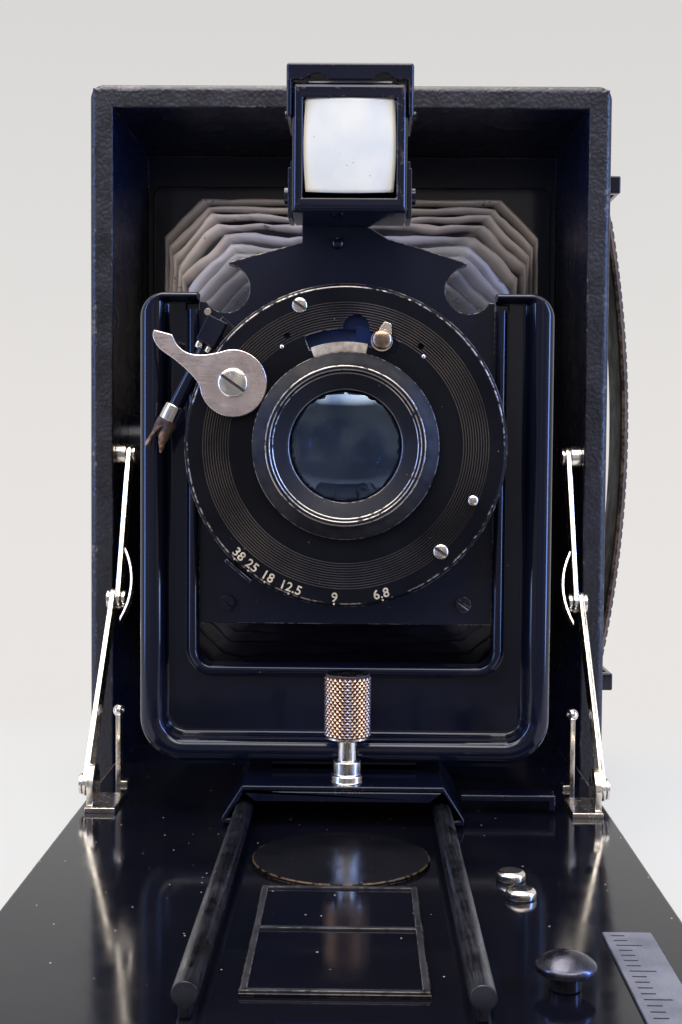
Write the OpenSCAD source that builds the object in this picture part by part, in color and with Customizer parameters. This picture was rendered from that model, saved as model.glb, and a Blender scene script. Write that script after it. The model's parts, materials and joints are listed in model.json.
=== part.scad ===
// Folding plate camera for 9 x 12 cm plates, bed open and standard drawn out.
// X runs to the viewer's right, Y back into the case, Z up.
// The origin is the mouth of the tripod socket in the underside of the bed.

/* [Case] */
// Width of the case
case_w = 113; // [108:1:130]
// Height of the case
case_h = 156; // [150:1:176]
// Depth of the case without the back frame
case_d = 54; // [54:1:70]
// Thickness of the side walls, covering included
case_wall = 5; // [4.5:0.5:7]
// Thickness of the leather covering
leather_t = 0.8; // [0.5:0.1:1.2]
// Thickness of the wall behind the bellows
back_wall = 4; // [3:0.5:5]
// Radius of the corners of the case
case_r = 3; // [2:0.5:5]
// Distance from the tripod socket to the front of the case
socket_to_case = 71.5; // [68:0.5:76]

/* [Picture opening] */
// Width of the picture opening
picture_w = 86; // [80:1:88]
// Height of the picture opening
picture_h = 116; // [108:1:118]

/* [Bed] */
// Thickness of the bed
bed_t = 8; // [8:0.5:9]
// Gap between the bed and the case round it
bed_gap = 0.5; // [0.3:0.1:1]
// Radius of the front corners of the bed
bed_r = 6; // [3:0.5:10]
// Diameter of the hinge pin
pin_d = 1.8; // [1.4:0.1:2.2]
// Outer diameter of the hinge knuckles
knuckle_d = 4.4; // [4:0.1:5]
// Number of hinge knuckles
knuckles = 9; // [5:2:13]

/* [Rails] */
// Distance between the two rails
rail_gauge = 36.4; // [34:0.2:40]
// Diameter of the rail head
rail_head = 3.4; // [3:0.1:4]
// Width of the rail web
rail_web = 1.6; // [1.2:0.1:2]
// Height of the rail over the bed
rail_h = 4.7; // [4.4:0.1:5.4]

/* [Tripod sockets] */
// Diameter of the tapped bore
socket_bore = 8; // [7:0.1:9]
// Depth of the tapped bore
socket_depth = 6.6; // [5:0.1:7]
// Outer diameter of the bush
bush_d = 14; // [12:0.5:18]
// Diameter of the disc over the bush on the bed
disc_d = 30; // [24:0.5:32]
// Thickness of sheet fittings on the bed
fitting_t = 0.8; // [0.5:0.1:1.2]

/* [Standard] */
// Distance of the standard in front of the case
standard_out = 42; // [36:0.5:48]
// Width of the standard
standard_w = 78; // [74:0.5:82]
// Height of the lower edge of the standard over the bed
standard_lift = 9.7; // [9.2:0.1:12]
// Height of the upper ends of the arms over the lens axis
arm_rise = 28.8; // [26:0.2:32]
// Depth of the pressed standard
standard_d = 6; // [5:0.5:7]
// Thickness of the pressed sheet
sheet_t = 1.4; // [1:0.1:1.8]
// Width of the outer rolled rim
rim_w = 4.6; // [3:0.2:5]
// Width of the inner rim
inner_rim_w = 1.8; // [1.2:0.2:2.4]
// Radius of the lower corners of the standard
standard_r = 8.5; // [6:0.5:12]
// Width of the lens board
board_w = 56; // [54:0.5:58]
// Thickness of the lens board
board_t = 1.6; // [1.2:0.1:2]

/* [Carriage] */
// Height of the top of the carriage over the bed
carriage_rise = 7.6; // [7.4:0.1:8.4]
// Thickness of the sheet of the carriage
carriage_t = 0.9; // [0.8:0.1:1.1]
// Distance of the clamp knob to the right of the lens axis
knob_x = 0.7; // [-2:0.1:2]
// Length of the carriage
carriage_l = 30; // [26:1:32]
// Diameter of the clamp knob
knob_d = 8.7; // [7:0.1:8.9]
// Length of the knurled part of the clamp knob
knob_l = 12.3; // [10:0.1:14]
// Diameter of the neck of the clamp knob
knob_neck_d = 3.6; // [3:0.1:4.4]

/* [Shutter] */
// Diameter of the face plate
face_d = 59; // [57:0.5:61]
// Thickness of the face plate
face_t = 1.4; // [1.2:0.1:2]
// Diameter of the shutter case
shutter_d = 55; // [53:0.2:55.6]
// Depth of the shutter case
shutter_depth = 9.6; // [9.6:0.1:11]
// Wall of the shutter case
shutter_wall = 1.2; // [1:0.1:1.3]
// Number of the fine grooves in the face plate
grooves = 11; // [6:1:14]
// Depth of the fine grooves
groove_depth = 0.25; // [0.1:0.05:0.4]
// Thickness of the iris blades
iris_t = 0.16; // [0.1:0.02:0.2]
// Swing of the iris blades from wide open to their place in the photograph
iris_set = 28; // [20:1:30]

/* [Lens] */
// Clear diameter of the front glass
glass_d = 20; // [18:0.5:21]
// Outer diameter of the front ring
front_ring_d = 34; // [32:0.5:35]
// Diameter of the bright inner ring
inner_ring_d = 28; // [26:0.5:29]
// How far the front ring stands out of the face plate
ring_out = 4; // [3:0.5:5]

/* [Release] */
// Diameter of the release cylinder
release_d = 2.8; // [2.4:0.1:3.2]
// Thickness of the nickel release lever
lever_t = 1.2; // [1:0.1:1.4]
// Diameter of the head of the lever
lever_head_d = 12.2; // [11:0.2:13]

/* [Finder] */
// Width of the finder body
finder_w = 20.4; // [18:0.2:21]
// Height of the finder body
finder_h = 22.6; // [21:0.2:24]
// Depth of the finder body
finder_d = 16; // [14:0.5:17]
// Wall of the finder body
finder_wall = 0.8; // [0.6:0.1:1]
// Width of the front lens of the finder
finder_lens_w = 16.5; // [14:0.5:17]
// Distance of the finder to the right of the lens axis
finder_x = 0.4; // [-2:0.1:2]
// Height of the finder over the lens axis
finder_rise = 41.2; // [40:0.2:44]
// Height of the hood over the body of the finder
hood_rise = 3.3; // [3:0.1:5]

/* [Back] */
// Thickness of the plate of the back frame
back_plate_t = 1.5; // [1:0.1:2]
// Width of the sides of the focusing screen frame
screen_side = 6; // [5:0.5:7]
// Width of the ends of the focusing screen frame
screen_end = 5.5; // [5:0.5:8]
// Thickness of the focusing screen frame
screen_t = 3; // [2.6:0.1:3.4]
// Thickness of the ground glass
ground_t = 1.4; // [1:0.1:1.6]

/* [Strap] */
// Width of the strap
strap_w = 16; // [12:1:20]
// Thickness of the strap
strap_t = 2.2; // [1.6:0.1:3]
// How far the strap stands off the case in the middle
strap_bulge = 6.4; // [5:0.2:9]
// Distance between the strap loops
strap_span = 105; // [90:1:110]

/* [Braces] */
// Width of the brace strips
brace_w = 4.6; // [3.6:0.1:5]
// Thickness of the brace strips
brace_t = 1.1; // [0.8:0.1:1.2]

/* [Hidden] */
$fn = 64;

// Running clearance of pins and slides, and the gap of parts that pass each other
fit = 0.06;
pass = 0.3;
// How far a cutting shape reaches past the face that it cuts
cut = 1;

// Case
case_y = socket_to_case;
back_y = case_y + case_d;
inner_w = case_w - 2 * case_wall;
inner_top = case_h - case_wall;
lens_z = case_h / 2;

// Bed and its hinge
flange_d = bush_d + 6;
bed_w = inner_w - 2 * bed_gap;
bed_back = case_y - bed_gap;
hinge_y = case_y + bed_t / 2;
hinge_z = bed_t / 2;
bed_l = inner_top - bed_gap - hinge_z - (hinge_y - bed_back);
bed_front = bed_back - bed_l;
knuckle_span = bed_w - 8;
knuckle_l = knuckle_span / knuckles;
leaf_t = 1.2;
leaf_l = 12;
recess_y = hinge_y + knuckle_d / 2 + pass;
button_d = 9;
button_travel = 1.1;

// Rails
rail_x = rail_gauge / 2;
rail_top = bed_t + rail_h;
head_z = rail_top - rail_head / 2;
rail_front = bed_front + 6;
rail_break = bed_back - 1.5;
floor_rail_y = recess_y + leaf_l;
label_w = 24.6;
label_t = 0.5;
label_front = bed_front + 13;
scale_x = 38;
scale_w = 7;
scale_l = 36;
stop_d = 4.8;
stop_t = 1.6;
stops = [[27.6, bed_back - 80], [28.2, bed_back - 89]];
focus_knob = [29.8, bed_front + 17];
focus_knob_d = 8;
catch_w = 14;
catch_l = 3.5;
catch_t = 0.8;

// Carriage
carriage_y = case_y - standard_out - 9;
carriage_top = bed_t + carriage_rise;
carriage_z = carriage_top - carriage_t;
carriage_slope = atan2(3.8, 6);
slope_off = rail_head / 2 + carriage_t + 0.12;
ear_x = rail_x + 4.1;
ear_z = head_z - 1.4;
shoulder_x = rail_x + (slope_off - (carriage_top - head_z) * sin(carriage_slope)) / cos(carriage_slope);
lip_z = head_z - sqrt(pow(rail_head / 2, 2) - pow(rail_web / 2 + 0.15, 2)) - 0.12;
lip_t = 0.9;
knob_y = carriage_y + 4.2;
post_h = 4;
knob_z = carriage_top + 8;
arm_y = carriage_y + 10;
arm_z = bed_t + 2.6;
arm_w = 4;
arm_t = 1.2;
arm_reach = 40.4;

// Standard
frame_y = case_y - standard_out;
frame_z = bed_t + standard_lift;
arm_top = lens_z + arm_rise;
frame_back = frame_y + standard_d - sheet_t;
ledge_z = frame_z + 18.5;
window_w = board_w + 0.2;
board_y = frame_back - board_t;
board_back = frame_back;
board_z = lens_z - 34;
shoulder_z = lens_z + 27.2;
arch_z = lens_z + 38.4;
neck_left = -8.6;
neck_right = 3.8;
neck_top = lens_z + 45.6;
notch_x = 22.5;

// Shutter, from the lens board forward
shutter_y = board_y - shutter_depth;
face_y = shutter_y - face_t;
shutter_r = shutter_d / 2;
face_r = face_d / 2;
cavity_r = shutter_r - shutter_wall;
cell_r = 13;
selector_y = shutter_y + 0.2;
selector_t = 0.7;
ring_y = selector_y + selector_t + 0.2;
ring_t = 0.8;
iris_y = ring_y + ring_t + 0.3;
iris_pitch = iris_t + 0.1;
iris_count = 5;
plate_y = iris_y + iris_count * iris_pitch + 0.3;
plate_t = 0.7;
blade_y = plate_y + plate_t + 0.25;
blade_t = 0.3;
blade_gap = 0.25;
iris_pivot_r = 16.2;
iris_pin_d = 0.8;
iris_band = [9.7, 15.3];
blade_pivot_z = -20;
blade_pin_d = 1.2;
stop_hole_r = 9.6;

// Speed slot, aperture pointer and their places, degrees from straight up, clockwise
slot_r = 19.9;
slot_w = 2.6;
slot_from = -21;
slot_to = 27;
speed_at = 18.6;
speed_pin_d = 2;
pointer_at = 220.4;
pointer_travel = [-54, 5];
pointer_w = 6;

// Front of the lens
lens_front = face_y - ring_out;

// Release lever and cylinder, from the lens axis
lever_x = -20.4;
lever_z = 11.2;
lever_y = face_y - 0.2 - lever_t;
lever_screw_d = 2.8;
lever_line = [
    [-1, 6], [-2.9, 5.5], [-5.6, 5], [-8.4, 5.3], [-10.4, 7], [-11, 8.6], [-11.1, 8.7], [-14.2, 9.5],
    [-14.5, 9.5], [-14.7, 8.3], [-13.6, 6.2], [-10.2, 4], [-6.4, 0.4], [-4.6, -3.2], [-2.5, -5.6], [0, 0]
];
release_from = [-23.8, 22.6];
release_to = [-33, 4.4];
release_l = norm(release_to - release_from);
release_y = shutter_y + 3.4;
collar_l = 3.2;
collar_d = release_d + 1.1;
hose_l = 6.6;
block_w = 3.6;
block_l = 5;
nut_d = 1.4;

// Finder
finder_z = lens_z + finder_rise;
bracket_t = 1.2;
finder_y = board_y - 0.4 - bracket_t - 0.1 - finder_d;
finder_top = finder_z + finder_h;
pivot_z = finder_z + 1.8;
finder_back = finder_y + finder_d;
cheek_t = 0.9;
bracket_x = finder_w / 2 + cheek_t + 0.1;
hood_pin_y = finder_y + 12.8;
hood_pin_z = finder_top - 3;
lower_rivet_z = finder_z + 4.4;
lower_rivet_y = finder_y + 10;
rivet_d = 1.6;

// Back
screen_w = picture_w + 2 * screen_side;
screen_h = picture_h + 2 * screen_end;
groove_y = back_y + back_plate_t;
screen_z = lens_z - screen_h / 2;
groove_x = screen_w / 2 + 0.15;
groove_wall = 1.4;
groove_lip = 3;
groove_end = groove_y + screen_t + 0.3;
screen_y = groove_y + 0.15;
screen_back = screen_y + screen_t;
glass_lap = 2;
glass_w = picture_w + 2 * glass_lap;
glass_h = picture_h + 2 * glass_lap;
lid_w = picture_w + 2;
lid_h = picture_h - 2;
lid_t = 1;
lid_pin_d = 1.2;
lid_y = screen_back + 1;
lid_z = lens_z - lid_h / 2;
lid_pin_z = lid_z - 1.8;
lid_hinge_x = lid_w / 5;
lid_hinge_w = lid_w / 4.4;
lug_w = 6;

// Strap
strap_y = case_y + case_d / 2;
strap_off = 1.2;
loop_l = 9;
tail_l = 9;

// Bellows, one fold every two rings
bellows_front = [50, 54];
bellows_rear = [inner_w - 9, inner_top - case_wall - 22];
bellows_folds = 14;
fold_depth = 4;
bellows_t = 0.8;
bellows_corner = 7;
bellows_y0 = board_back + 2;
bellows_y1 = back_y - back_wall - 2;

// Braces, one side; the pivots as y and z
brace_top = [case_y + 5.5, bed_t + 67.8];
brace_mid = [case_y - 8, bed_t + 37];
brace_foot = [case_y - 37, bed_t + 4.2];
brace_x = inner_w / 2 - 3.4;
outer_x = brace_x + brace_t + 0.1;
brace_pin_d = 2;
rivet_head_d = 4;
rivet_head_t = 0.8;
foot_t = 1.2;
post_y = case_y - 19.5;
post_top = bed_t + 14.6;
spring_l = 17;
spring_bow = 2.2;

// 2D shapes are drawn as X and Z and stand up between y and y + t
module slab(y, t) translate([0, y + t, 0]) rotate([90, 0, 0]) linear_extrude(t) children();

// 2D shapes are drawn as Y and Z and lie between x and x + t
module side(x, t) translate([x, 0, 0]) rotate([90, 0, 90]) linear_extrude(t) children();

module rod_y(x, y, z, l, d) translate([x, y, z]) rotate([-90, 0, 0]) cylinder(d = d, h = l);

module rod_x(x, y, z, l, d) translate([x, y, z]) rotate([0, 90, 0]) cylinder(d = d, h = l);

module rounded(w, h, r) {
    square([w - 2 * r, h], center = true);
    square([w, h - 2 * r], center = true);
    for (i = [-1, 1], j = [-1, 1]) translate([i * (w / 2 - r), j * (h / 2 - r)]) circle(r);
}

// Strip with round ends between two points
module strip(a, b, w) {
    translate(a) circle(d = w);
    translate(b) circle(d = w);
    d = b - a;
    translate(a) rotate(atan2(d[1], d[0])) translate([0, -w / 2]) square([norm(d), w]);
}

module both_sides() {
    children();
    mirror([1, 0, 0]) children();
}

// Turned about the lens axis, clockwise as the viewer sees it
module dial(angle) translate([0, 0, lens_z]) rotate([0, angle, 0]) children();

// Profile drawn as radius and depth, turned about the lens axis, depth to the back
module turned(y) translate([0, y, lens_z]) rotate([-90, 0, 0]) rotate_extrude($fn = 96) children();

module screw_y(x, y, z, head_d, head_t, shank_d, shank_l) {
    difference() {
        rod_y(x, y, z, head_t, head_d);
        translate([x, y, z]) rotate([0, 35, 0])
            cube([head_d + cut, head_t, 0.5], center = true);
    }
    rod_y(x, y + head_t, z, shank_l, shank_d);
}

// Case

module case_shell() color("#16181f") difference() {
    translate([0, 0, lens_z]) slab(case_y + leather_t, case_d - leather_t)
        rounded(case_w - 2 * leather_t, case_h - 2 * leather_t, case_r - leather_t);
    translate([-inner_w / 2, case_y - cut, case_wall])
        cube([inner_w, case_d - back_wall + cut, case_h - 2 * case_wall]);
    translate([-inner_w / 2, case_y - cut, -cut])
        cube([inner_w, recess_y - case_y + cut, case_wall + 2 * cut]);
    translate([0, 0, lens_z]) slab(back_y - back_wall - cut, back_wall + 2 * cut)
        rounded(picture_w, picture_h, 2);
    rod_x(-case_w / 2 - cut, strap_y, lens_z, case_wall + 2 * cut, bush_d);
    release_bore();
}

module release_bore() translate([0, case_y + 12, inner_top - cut])
    cylinder(d = 4 + 2 * fit, h = case_wall + 2 * cut);

module case_leather() color("#1d1a18") difference() {
    translate([0, 0, lens_z]) slab(case_y, case_d) rounded(case_w, case_h, case_r);
    translate([0, 0, lens_z]) slab(case_y + leather_t, case_d)
        rounded(case_w - 2 * leather_t, case_h - 2 * leather_t, case_r - leather_t);
    translate([-inner_w / 2, case_y - cut, case_wall])
        cube([inner_w, case_d, case_h - 2 * case_wall]);
    translate([-case_w, case_y - cut, -cut]) cube([2 * case_w, case_d + 2 * cut, cut + case_r]);
    translate([-inner_w / 2, case_y - cut, 0]) cube([inner_w, cut + leather_t + pass, case_wall + cut]);
    rod_x(-case_w / 2 - cut, strap_y, lens_z, case_wall, flange_d + 2 * pass);
    translate([0, case_y + 12, inner_top]) cylinder(d = button_d + 2 * pass, h = case_wall + cut);
}

module bottom_leather() color("#1d1a18") {
    intersection() {
        translate([0, 0, lens_z]) slab(case_y, case_d) rounded(case_w, case_h, case_r);
        difference() {
            translate([-case_w / 2, case_y, 0]) cube([case_w, case_d, case_r]);
            translate([0, 0, lens_z]) slab(case_y + leather_t, case_d)
                rounded(case_w - 2 * leather_t, case_h - 2 * leather_t, case_r - leather_t);
            translate([-inner_w / 2, case_y - cut, -cut])
                cube([inner_w, recess_y - case_y + cut, case_wall + cut]);
        }
    }
    difference() {
        bed_outline(leather_t, 0);
        translate([0, 0, -cut]) cylinder(d = flange_d + 2 * fit, h = leather_t + 2 * cut);
    }
}

module floor_rails() color("#101218") both_sides() rail(floor_rail_y, back_y - back_wall - 3, case_wall);

module bellows_frame() color("#101218") difference() {
    translate([0, 0, lens_z]) slab(bellows_y1, back_y - back_wall - bellows_y1)
        rounded(bellows_rear[0] + 6, bellows_rear[1] + 6, 3);
    translate([0, 0, lens_z]) slab(bellows_y1 - cut, 2 * back_wall) rounded(picture_w - 2, picture_h - 2, 2);
}

// One ring of the bellows: half width w, half height h, corners cut back by c
function fold_ring(w, h, c, y) = [
    [w, y, lens_z + h - c], [w - c, y, lens_z + h], [-w + c, y, lens_z + h], [-w, y, lens_z + h - c],
    [-w, y, lens_z - h + c], [-w + c, y, lens_z - h], [w - c, y, lens_z - h], [w, y, lens_z - h + c]
];

function bellows_w(t) = (bellows_front[0] * (1 - t) + bellows_rear[0] * t) / 2;
function bellows_h(t) = (bellows_front[1] * (1 - t) + bellows_rear[1] * t) / 2;

function bellows_skin(inset) = [
    for (i = [0:2 * bellows_folds])
        let (t = i / (2 * bellows_folds), in = inset + (i % 2) * fold_depth)
            fold_ring(bellows_w(t) - in, bellows_h(t) - in, bellows_corner - inset / 2,
                      bellows_y0 + t * (bellows_y1 - bellows_y0))
];

module bellows() color("#2a2523") {
    outer = bellows_skin(0);
    inner = bellows_skin(bellows_t);
    rings = concat(outer, [for (i = [2 * bellows_folds:-1:0]) inner[i]]);
    n = len(rings);
    points = [for (r = rings) each r];
    faces = [
        for (i = [0:n - 1], j = [0:7])
            let (a = i * 8 + j, b = i * 8 + (j + 1) % 8,
                 c = ((i + 1) % n) * 8 + (j + 1) % 8, d = ((i + 1) % n) * 8 + j)
                each [[a, b, c], [a, c, d]]
    ];
    polyhedron(points, faces);
}

module back_frame() color("#16181f") difference() {
    union() {
        translate([0, 0, lens_z]) slab(back_y, back_plate_t) rounded(case_w - 5, case_h - 5, 2);
        both_sides() translate([groove_x, groove_y, screen_z])
            cube([groove_wall, groove_end - groove_y + 1.2, screen_h]);
        both_sides() translate([groove_x - groove_lip, groove_end, screen_z])
            cube([groove_lip + groove_wall, 1.2, screen_h]);
        translate([-groove_x, groove_y, screen_z - 1.7])
            cube([2 * groove_x, groove_end - groove_y, 1.6]);
    }
    translate([0, 0, lens_z]) slab(back_y - cut, back_plate_t + 2 * cut) rounded(picture_w, picture_h, 2);
}

// Leather strap between the two loops, bowed away from the side of the case
module strap() color("#2b211b") {
    x0 = case_w / 2 + strap_off;
    half = strap_span / 2;
    bow = strap_bulge - strap_off;
    radius = (half * half + bow * bow) / (2 * bow);
    intersection() {
        translate([0, strap_y - strap_w / 2, 0]) rotate([90, 0, 0]) mirror([0, 0, 1])
            linear_extrude(strap_w) translate([x0 + bow - radius, lens_z + 3]) difference() {
                circle(radius + strap_t, $fn = 360);
                circle(radius, $fn = 360);
            }
        translate([x0 - cut, strap_y - strap_w / 2, lens_z + 3 - half])
            cube([strap_bulge + strap_t + 2 * cut, strap_w, strap_span]);
    }
    for (i = [-1, 1]) translate([x0, strap_y - strap_w / 2, lens_z + 3 + i * (half + tail_l / 2) - tail_l / 2])
        cube([strap_t, strap_w, tail_l]);
}

module strap_loops() color("#3a342f") for (i = [-1, 1])
    translate([case_w / 2, strap_y, lens_z + 3 + i * (strap_span / 2 + tail_l / 2)]) {
        difference() {
            translate([0, -strap_w / 2 - 2.5, -2]) cube([strap_off + strap_t + 1.6, strap_w + 5, 4]);
            translate([-cut, -strap_w / 2 - 0.3, -2 - cut])
                cube([strap_off + strap_t + 0.3 + cut, strap_w + 0.6, 4 + 2 * cut]);
        }
        for (j = [-1, 1]) translate([0, j * (strap_w / 2 + 4.5) - 2.8, -3.4]) cube([1, 5.6, 6.8]);
    }

module side_tripod_bush() color("#b08d4c") difference() {
    union() {
        rod_x(-case_w / 2 - 0.7, strap_y, lens_z, 0.7 + leather_t, flange_d);
        rod_x(-case_w / 2 + leather_t, strap_y, lens_z, case_wall - leather_t + 3, bush_d);
    }
    rod_x(-case_w / 2 - 0.7 - cut, strap_y, lens_z, socket_depth + cut, socket_bore);
}

// Bed

module bed_outline(h, z) translate([0, 0, z]) {
    translate([-bed_w / 2, bed_front + bed_r, 0]) cube([bed_w, bed_l - bed_r, h]);
    translate([-bed_w / 2 + bed_r, bed_front, 0]) cube([bed_w - 2 * bed_r, bed_r, h]);
    for (i = [-1, 1]) translate([i * (bed_w / 2 - bed_r), bed_front + bed_r, 0]) cylinder(r = bed_r, h = h);
}

module bed_board() color("#14161c") difference() {
    bed_outline(bed_t - leather_t, leather_t);
    translate([0, 0, -cut]) cylinder(d = bush_d, h = bed_t + 2 * cut);
    translate([0, 0, -cut]) cylinder(d = flange_d, h = cut + leather_t + 0.8);
    translate([-knuckle_span / 2, bed_back - leaf_l, hinge_z - leaf_t / 2])
        cube([knuckle_span, leaf_l + cut, leaf_t]);
}

// Rail with a round head on a web, from y to y1, its foot at z
module rail(y, y1, z) {
    translate([rail_x - rail_web / 2, y, z]) cube([rail_web, y1 - y, head_z - z]);
    rod_y(rail_x, y, head_z, y1 - y, rail_head);
}

module bed_rails() color("#1a1c22") both_sides() rail(rail_front, rail_break, bed_t);

module tripod_bush() color("#b08d4c") difference() {
    union() {
        cylinder(d = flange_d, h = leather_t + 0.8);
        cylinder(d = bush_d, h = bed_t);
        translate([0, 0, bed_t]) cylinder(d = disc_d, h = fitting_t);
    }
    translate([0, 0, -cut]) cylinder(d = socket_bore, h = socket_depth + cut);
}

module label_plate() color("#202228")
    translate([-label_w / 2, label_front, bed_t]) cube([label_w, -disc_d / 2 - 0.4 - label_front, label_t]);

module distance_scale() color("#c9c6bd")
    translate([scale_x, bed_front + 1, bed_t]) cube([scale_w, scale_l, label_t]);

// Heads of the two stops, and the round knob in front of them
module bed_stops() color("#c8c4ba") {
    for (p = stops) translate([p[0], p[1], bed_t]) {
        cylinder(d = stop_d, h = stop_t - 0.5);
        translate([0, 0, stop_t - 0.5]) cylinder(d1 = stop_d, d2 = stop_d - 1, h = 0.5);
    }
    translate([focus_knob[0], focus_knob[1], bed_t]) {
        cylinder(d = focus_knob_d / 2, h = 2.4);
        translate([0, 0, 2.4]) intersection() {
            cylinder(d = focus_knob_d, h = 2.6);
            translate([0, 0, 2.6 - 0.7 * focus_knob_d]) sphere(r = 0.7 * focus_knob_d);
        }
    }
}

module bed_catch() color("#c8c4ba") {
    translate([-catch_w / 2, bed_front + 0.5, bed_t]) cube([catch_w, catch_l, catch_t]);
    translate([-catch_w / 3, bed_front + 0.5, bed_t + catch_t]) cube([catch_w / 1.5, 1, catch_t]);
}

module knuckle(i, l) rod_x(-knuckle_span / 2 + i * knuckle_l + 0.05, hinge_y, hinge_z, l - 0.1, knuckle_d);

module hinge_leaves() color("#2a2c33") difference() {
    union() {
        for (i = [0:2:knuckles - 1]) {
            knuckle(i, knuckle_l);
            translate([-knuckle_span / 2 + i * knuckle_l + 0.05, hinge_y, hinge_z + knuckle_d / 2 - leaf_t])
                cube([knuckle_l - 0.1, recess_y - hinge_y + cut, leaf_t]);
        }
        translate([-knuckle_span / 2, recess_y, case_wall]) cube([knuckle_span, leaf_l - 1, leaf_t]);
        for (i = [1:2:knuckles - 1]) {
            knuckle(i, knuckle_l);
            translate([-knuckle_span / 2 + i * knuckle_l + 0.05, bed_back - cut, hinge_z - leaf_t / 2])
                cube([knuckle_l - 0.1, hinge_y - bed_back + cut, leaf_t]);
        }
        translate([-knuckle_span / 2, bed_back - leaf_l + 0.1, hinge_z - leaf_t / 2])
            cube([knuckle_span, leaf_l - 0.2, leaf_t]);
    }
    rod_x(-knuckle_span / 2 - cut, hinge_y, hinge_z, knuckle_span + 2 * cut, pin_d + 2 * fit);
}

module hinge_pin() color("#c8c4ba")
    rod_x(-knuckle_span / 2 - 0.8, hinge_y, hinge_z, knuckle_span + 1.6, pin_d);

// Braces

module brace(a, b, x) difference() {
    side(x, brace_t) strip(a, b, brace_w);
    for (p = [a, b]) rod_x(x - cut, p[0], p[1], brace_t + 2 * cut, 2 + 2 * fit);
}

module upper_braces() color("#cfccc4") both_sides() brace(brace_top, brace_mid, brace_x);

module lower_braces() color("#cfccc4") both_sides() brace(brace_mid, brace_foot, outer_x);

// Studs on the case wall, rivets in the middle, feet on the bed and the posts behind them
module brace_fittings() color("#b9b6ae") both_sides() {
    wall = inner_w / 2;
    rod_x(brace_x - 0.1, brace_top[0], brace_top[1], wall - brace_x + 0.1, brace_pin_d);
    rod_x(outer_x, brace_top[0], brace_top[1], wall - outer_x, rivet_head_d + 1);
    rod_x(brace_x - rivet_head_t, brace_top[0], brace_top[1], rivet_head_t - 0.05, rivet_head_d);
    rod_x(brace_x - 0.2, brace_mid[0], brace_mid[1], 2 * brace_t + 0.4, brace_pin_d);
    rod_x(brace_x - rivet_head_t - 0.1, brace_mid[0], brace_mid[1], rivet_head_t, rivet_head_d);
    rod_x(outer_x + brace_t + 0.05, brace_mid[0], brace_mid[1], rivet_head_t - 0.1, rivet_head_d);
    foot_x = outer_x - 0.1 - foot_t;
    difference() {
        union() {
            translate([foot_x, brace_foot[0] - 4, bed_t]) cube([foot_t, 8, brace_foot[1] - bed_t]);
            rod_x(foot_x, brace_foot[0], brace_foot[1], foot_t, 8);
            translate([foot_x - 4.6, brace_foot[0] - 6, bed_t]) cube([4.6 + foot_t, 12, 1]);
        }
        translate([0, brace_foot[0] - 10, bed_t - 10]) cube([case_w, 20, 10]);
    }
    rod_x(outer_x - 0.2, brace_foot[0], brace_foot[1], brace_t + 0.3, brace_pin_d);
    rod_x(outer_x + brace_t + 0.05, brace_foot[0], brace_foot[1], rivet_head_t - 0.1, rivet_head_d);
    translate([brace_x - 2, post_y - 1.5, bed_t]) cube([1, 3, post_top - bed_t]);
    translate([brace_x - 3.4, post_y - 1.5, bed_t]) cube([1.6, 3, 0.8]);
    translate([brace_x - 1.5, post_y, post_top + 0.6]) sphere(d = 2.6, $fn = 24);
}

// Bowed leaf on the inner face of each upper brace that locks the middle joint
module brace_springs() color("#d8d5cd") both_sides() {
    run = brace_mid - brace_top;
    radius = (pow(spring_l / 2, 2) + pow(spring_bow, 2)) / (2 * spring_bow);
    translate([brace_x - 0.05, brace_mid[0], brace_mid[1]]) rotate([atan2(run[0], -run[1]), 0, 0])
        slab(-1.4, 2.8) intersection() {
            translate([radius - spring_bow, 3]) difference() {
                circle(radius, $fn = 128);
                circle(radius - 0.5, $fn = 128);
            }
            translate([-spring_bow - cut, 3 - spring_l / 2]) square([spring_bow + cut, spring_l]);
        }
}

// Back with the focusing screen

module screen_frame() color("#1b1d24") difference() {
    union() {
        translate([-screen_w / 2, screen_y, screen_z]) cube([screen_w, screen_t, screen_h]);
        for (i = [-1, 1]) translate([i * (lid_w / 2 - lug_w) - lug_w / 2, screen_back, lid_pin_z - 1.2])
            cube([lug_w, lid_y - screen_back + lid_t + 0.3, 2.4]);
        rod_x(-lid_w / 2 + lug_w / 2, lid_y + lid_t / 2, lid_pin_z, lid_w - lug_w, lid_pin_d);
    }
    translate([0, 0, lens_z]) slab(screen_y - cut, screen_t + 2 * cut) rounded(picture_w, picture_h, 2);
    translate([-glass_w / 2, screen_y - cut, lens_z - glass_h / 2]) cube([glass_w, ground_t + cut, glass_h]);
}

module ground_glass() color("#cfd6d6")
    translate([-glass_w / 2 + 0.1, screen_y, lens_z - glass_h / 2 + 0.1])
        cube([glass_w - 0.2, ground_t, glass_h - 0.2]);

// Folding lid that shades the screen
module screen_hood() color("#1d1a18") difference() {
    union() {
        translate([-lid_w / 2, lid_y, lid_z]) cube([lid_w, lid_t, lid_h]);
        for (i = [-1, 1]) translate([i * lid_hinge_x - lid_hinge_w / 2, 0, 0]) {
            translate([0, lid_y, lid_pin_z]) cube([lid_hinge_w, lid_t, lid_z - lid_pin_z + cut]);
            rod_x(0, lid_y + lid_t / 2, lid_pin_z, lid_hinge_w, 2.6);
        }
    }
    rod_x(-lid_w / 2, lid_y + lid_t / 2, lid_pin_z, lid_w, lid_pin_d + 2 * fit);
}

// Button that lets the closed bed spring open
module release_button() color("#c8c4ba") translate([0, case_y + 12, 0]) {
    translate([0, 0, case_h + button_travel]) cylinder(d = button_d, h = 1.2);
    translate([0, 0, inner_top - 1.2]) cylinder(d = 4, h = case_wall + button_travel + 1.3);
    translate([-4, -8, inner_top - 2.2]) cube([8, 11, 1]);
}

// Carriage and standard

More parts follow.
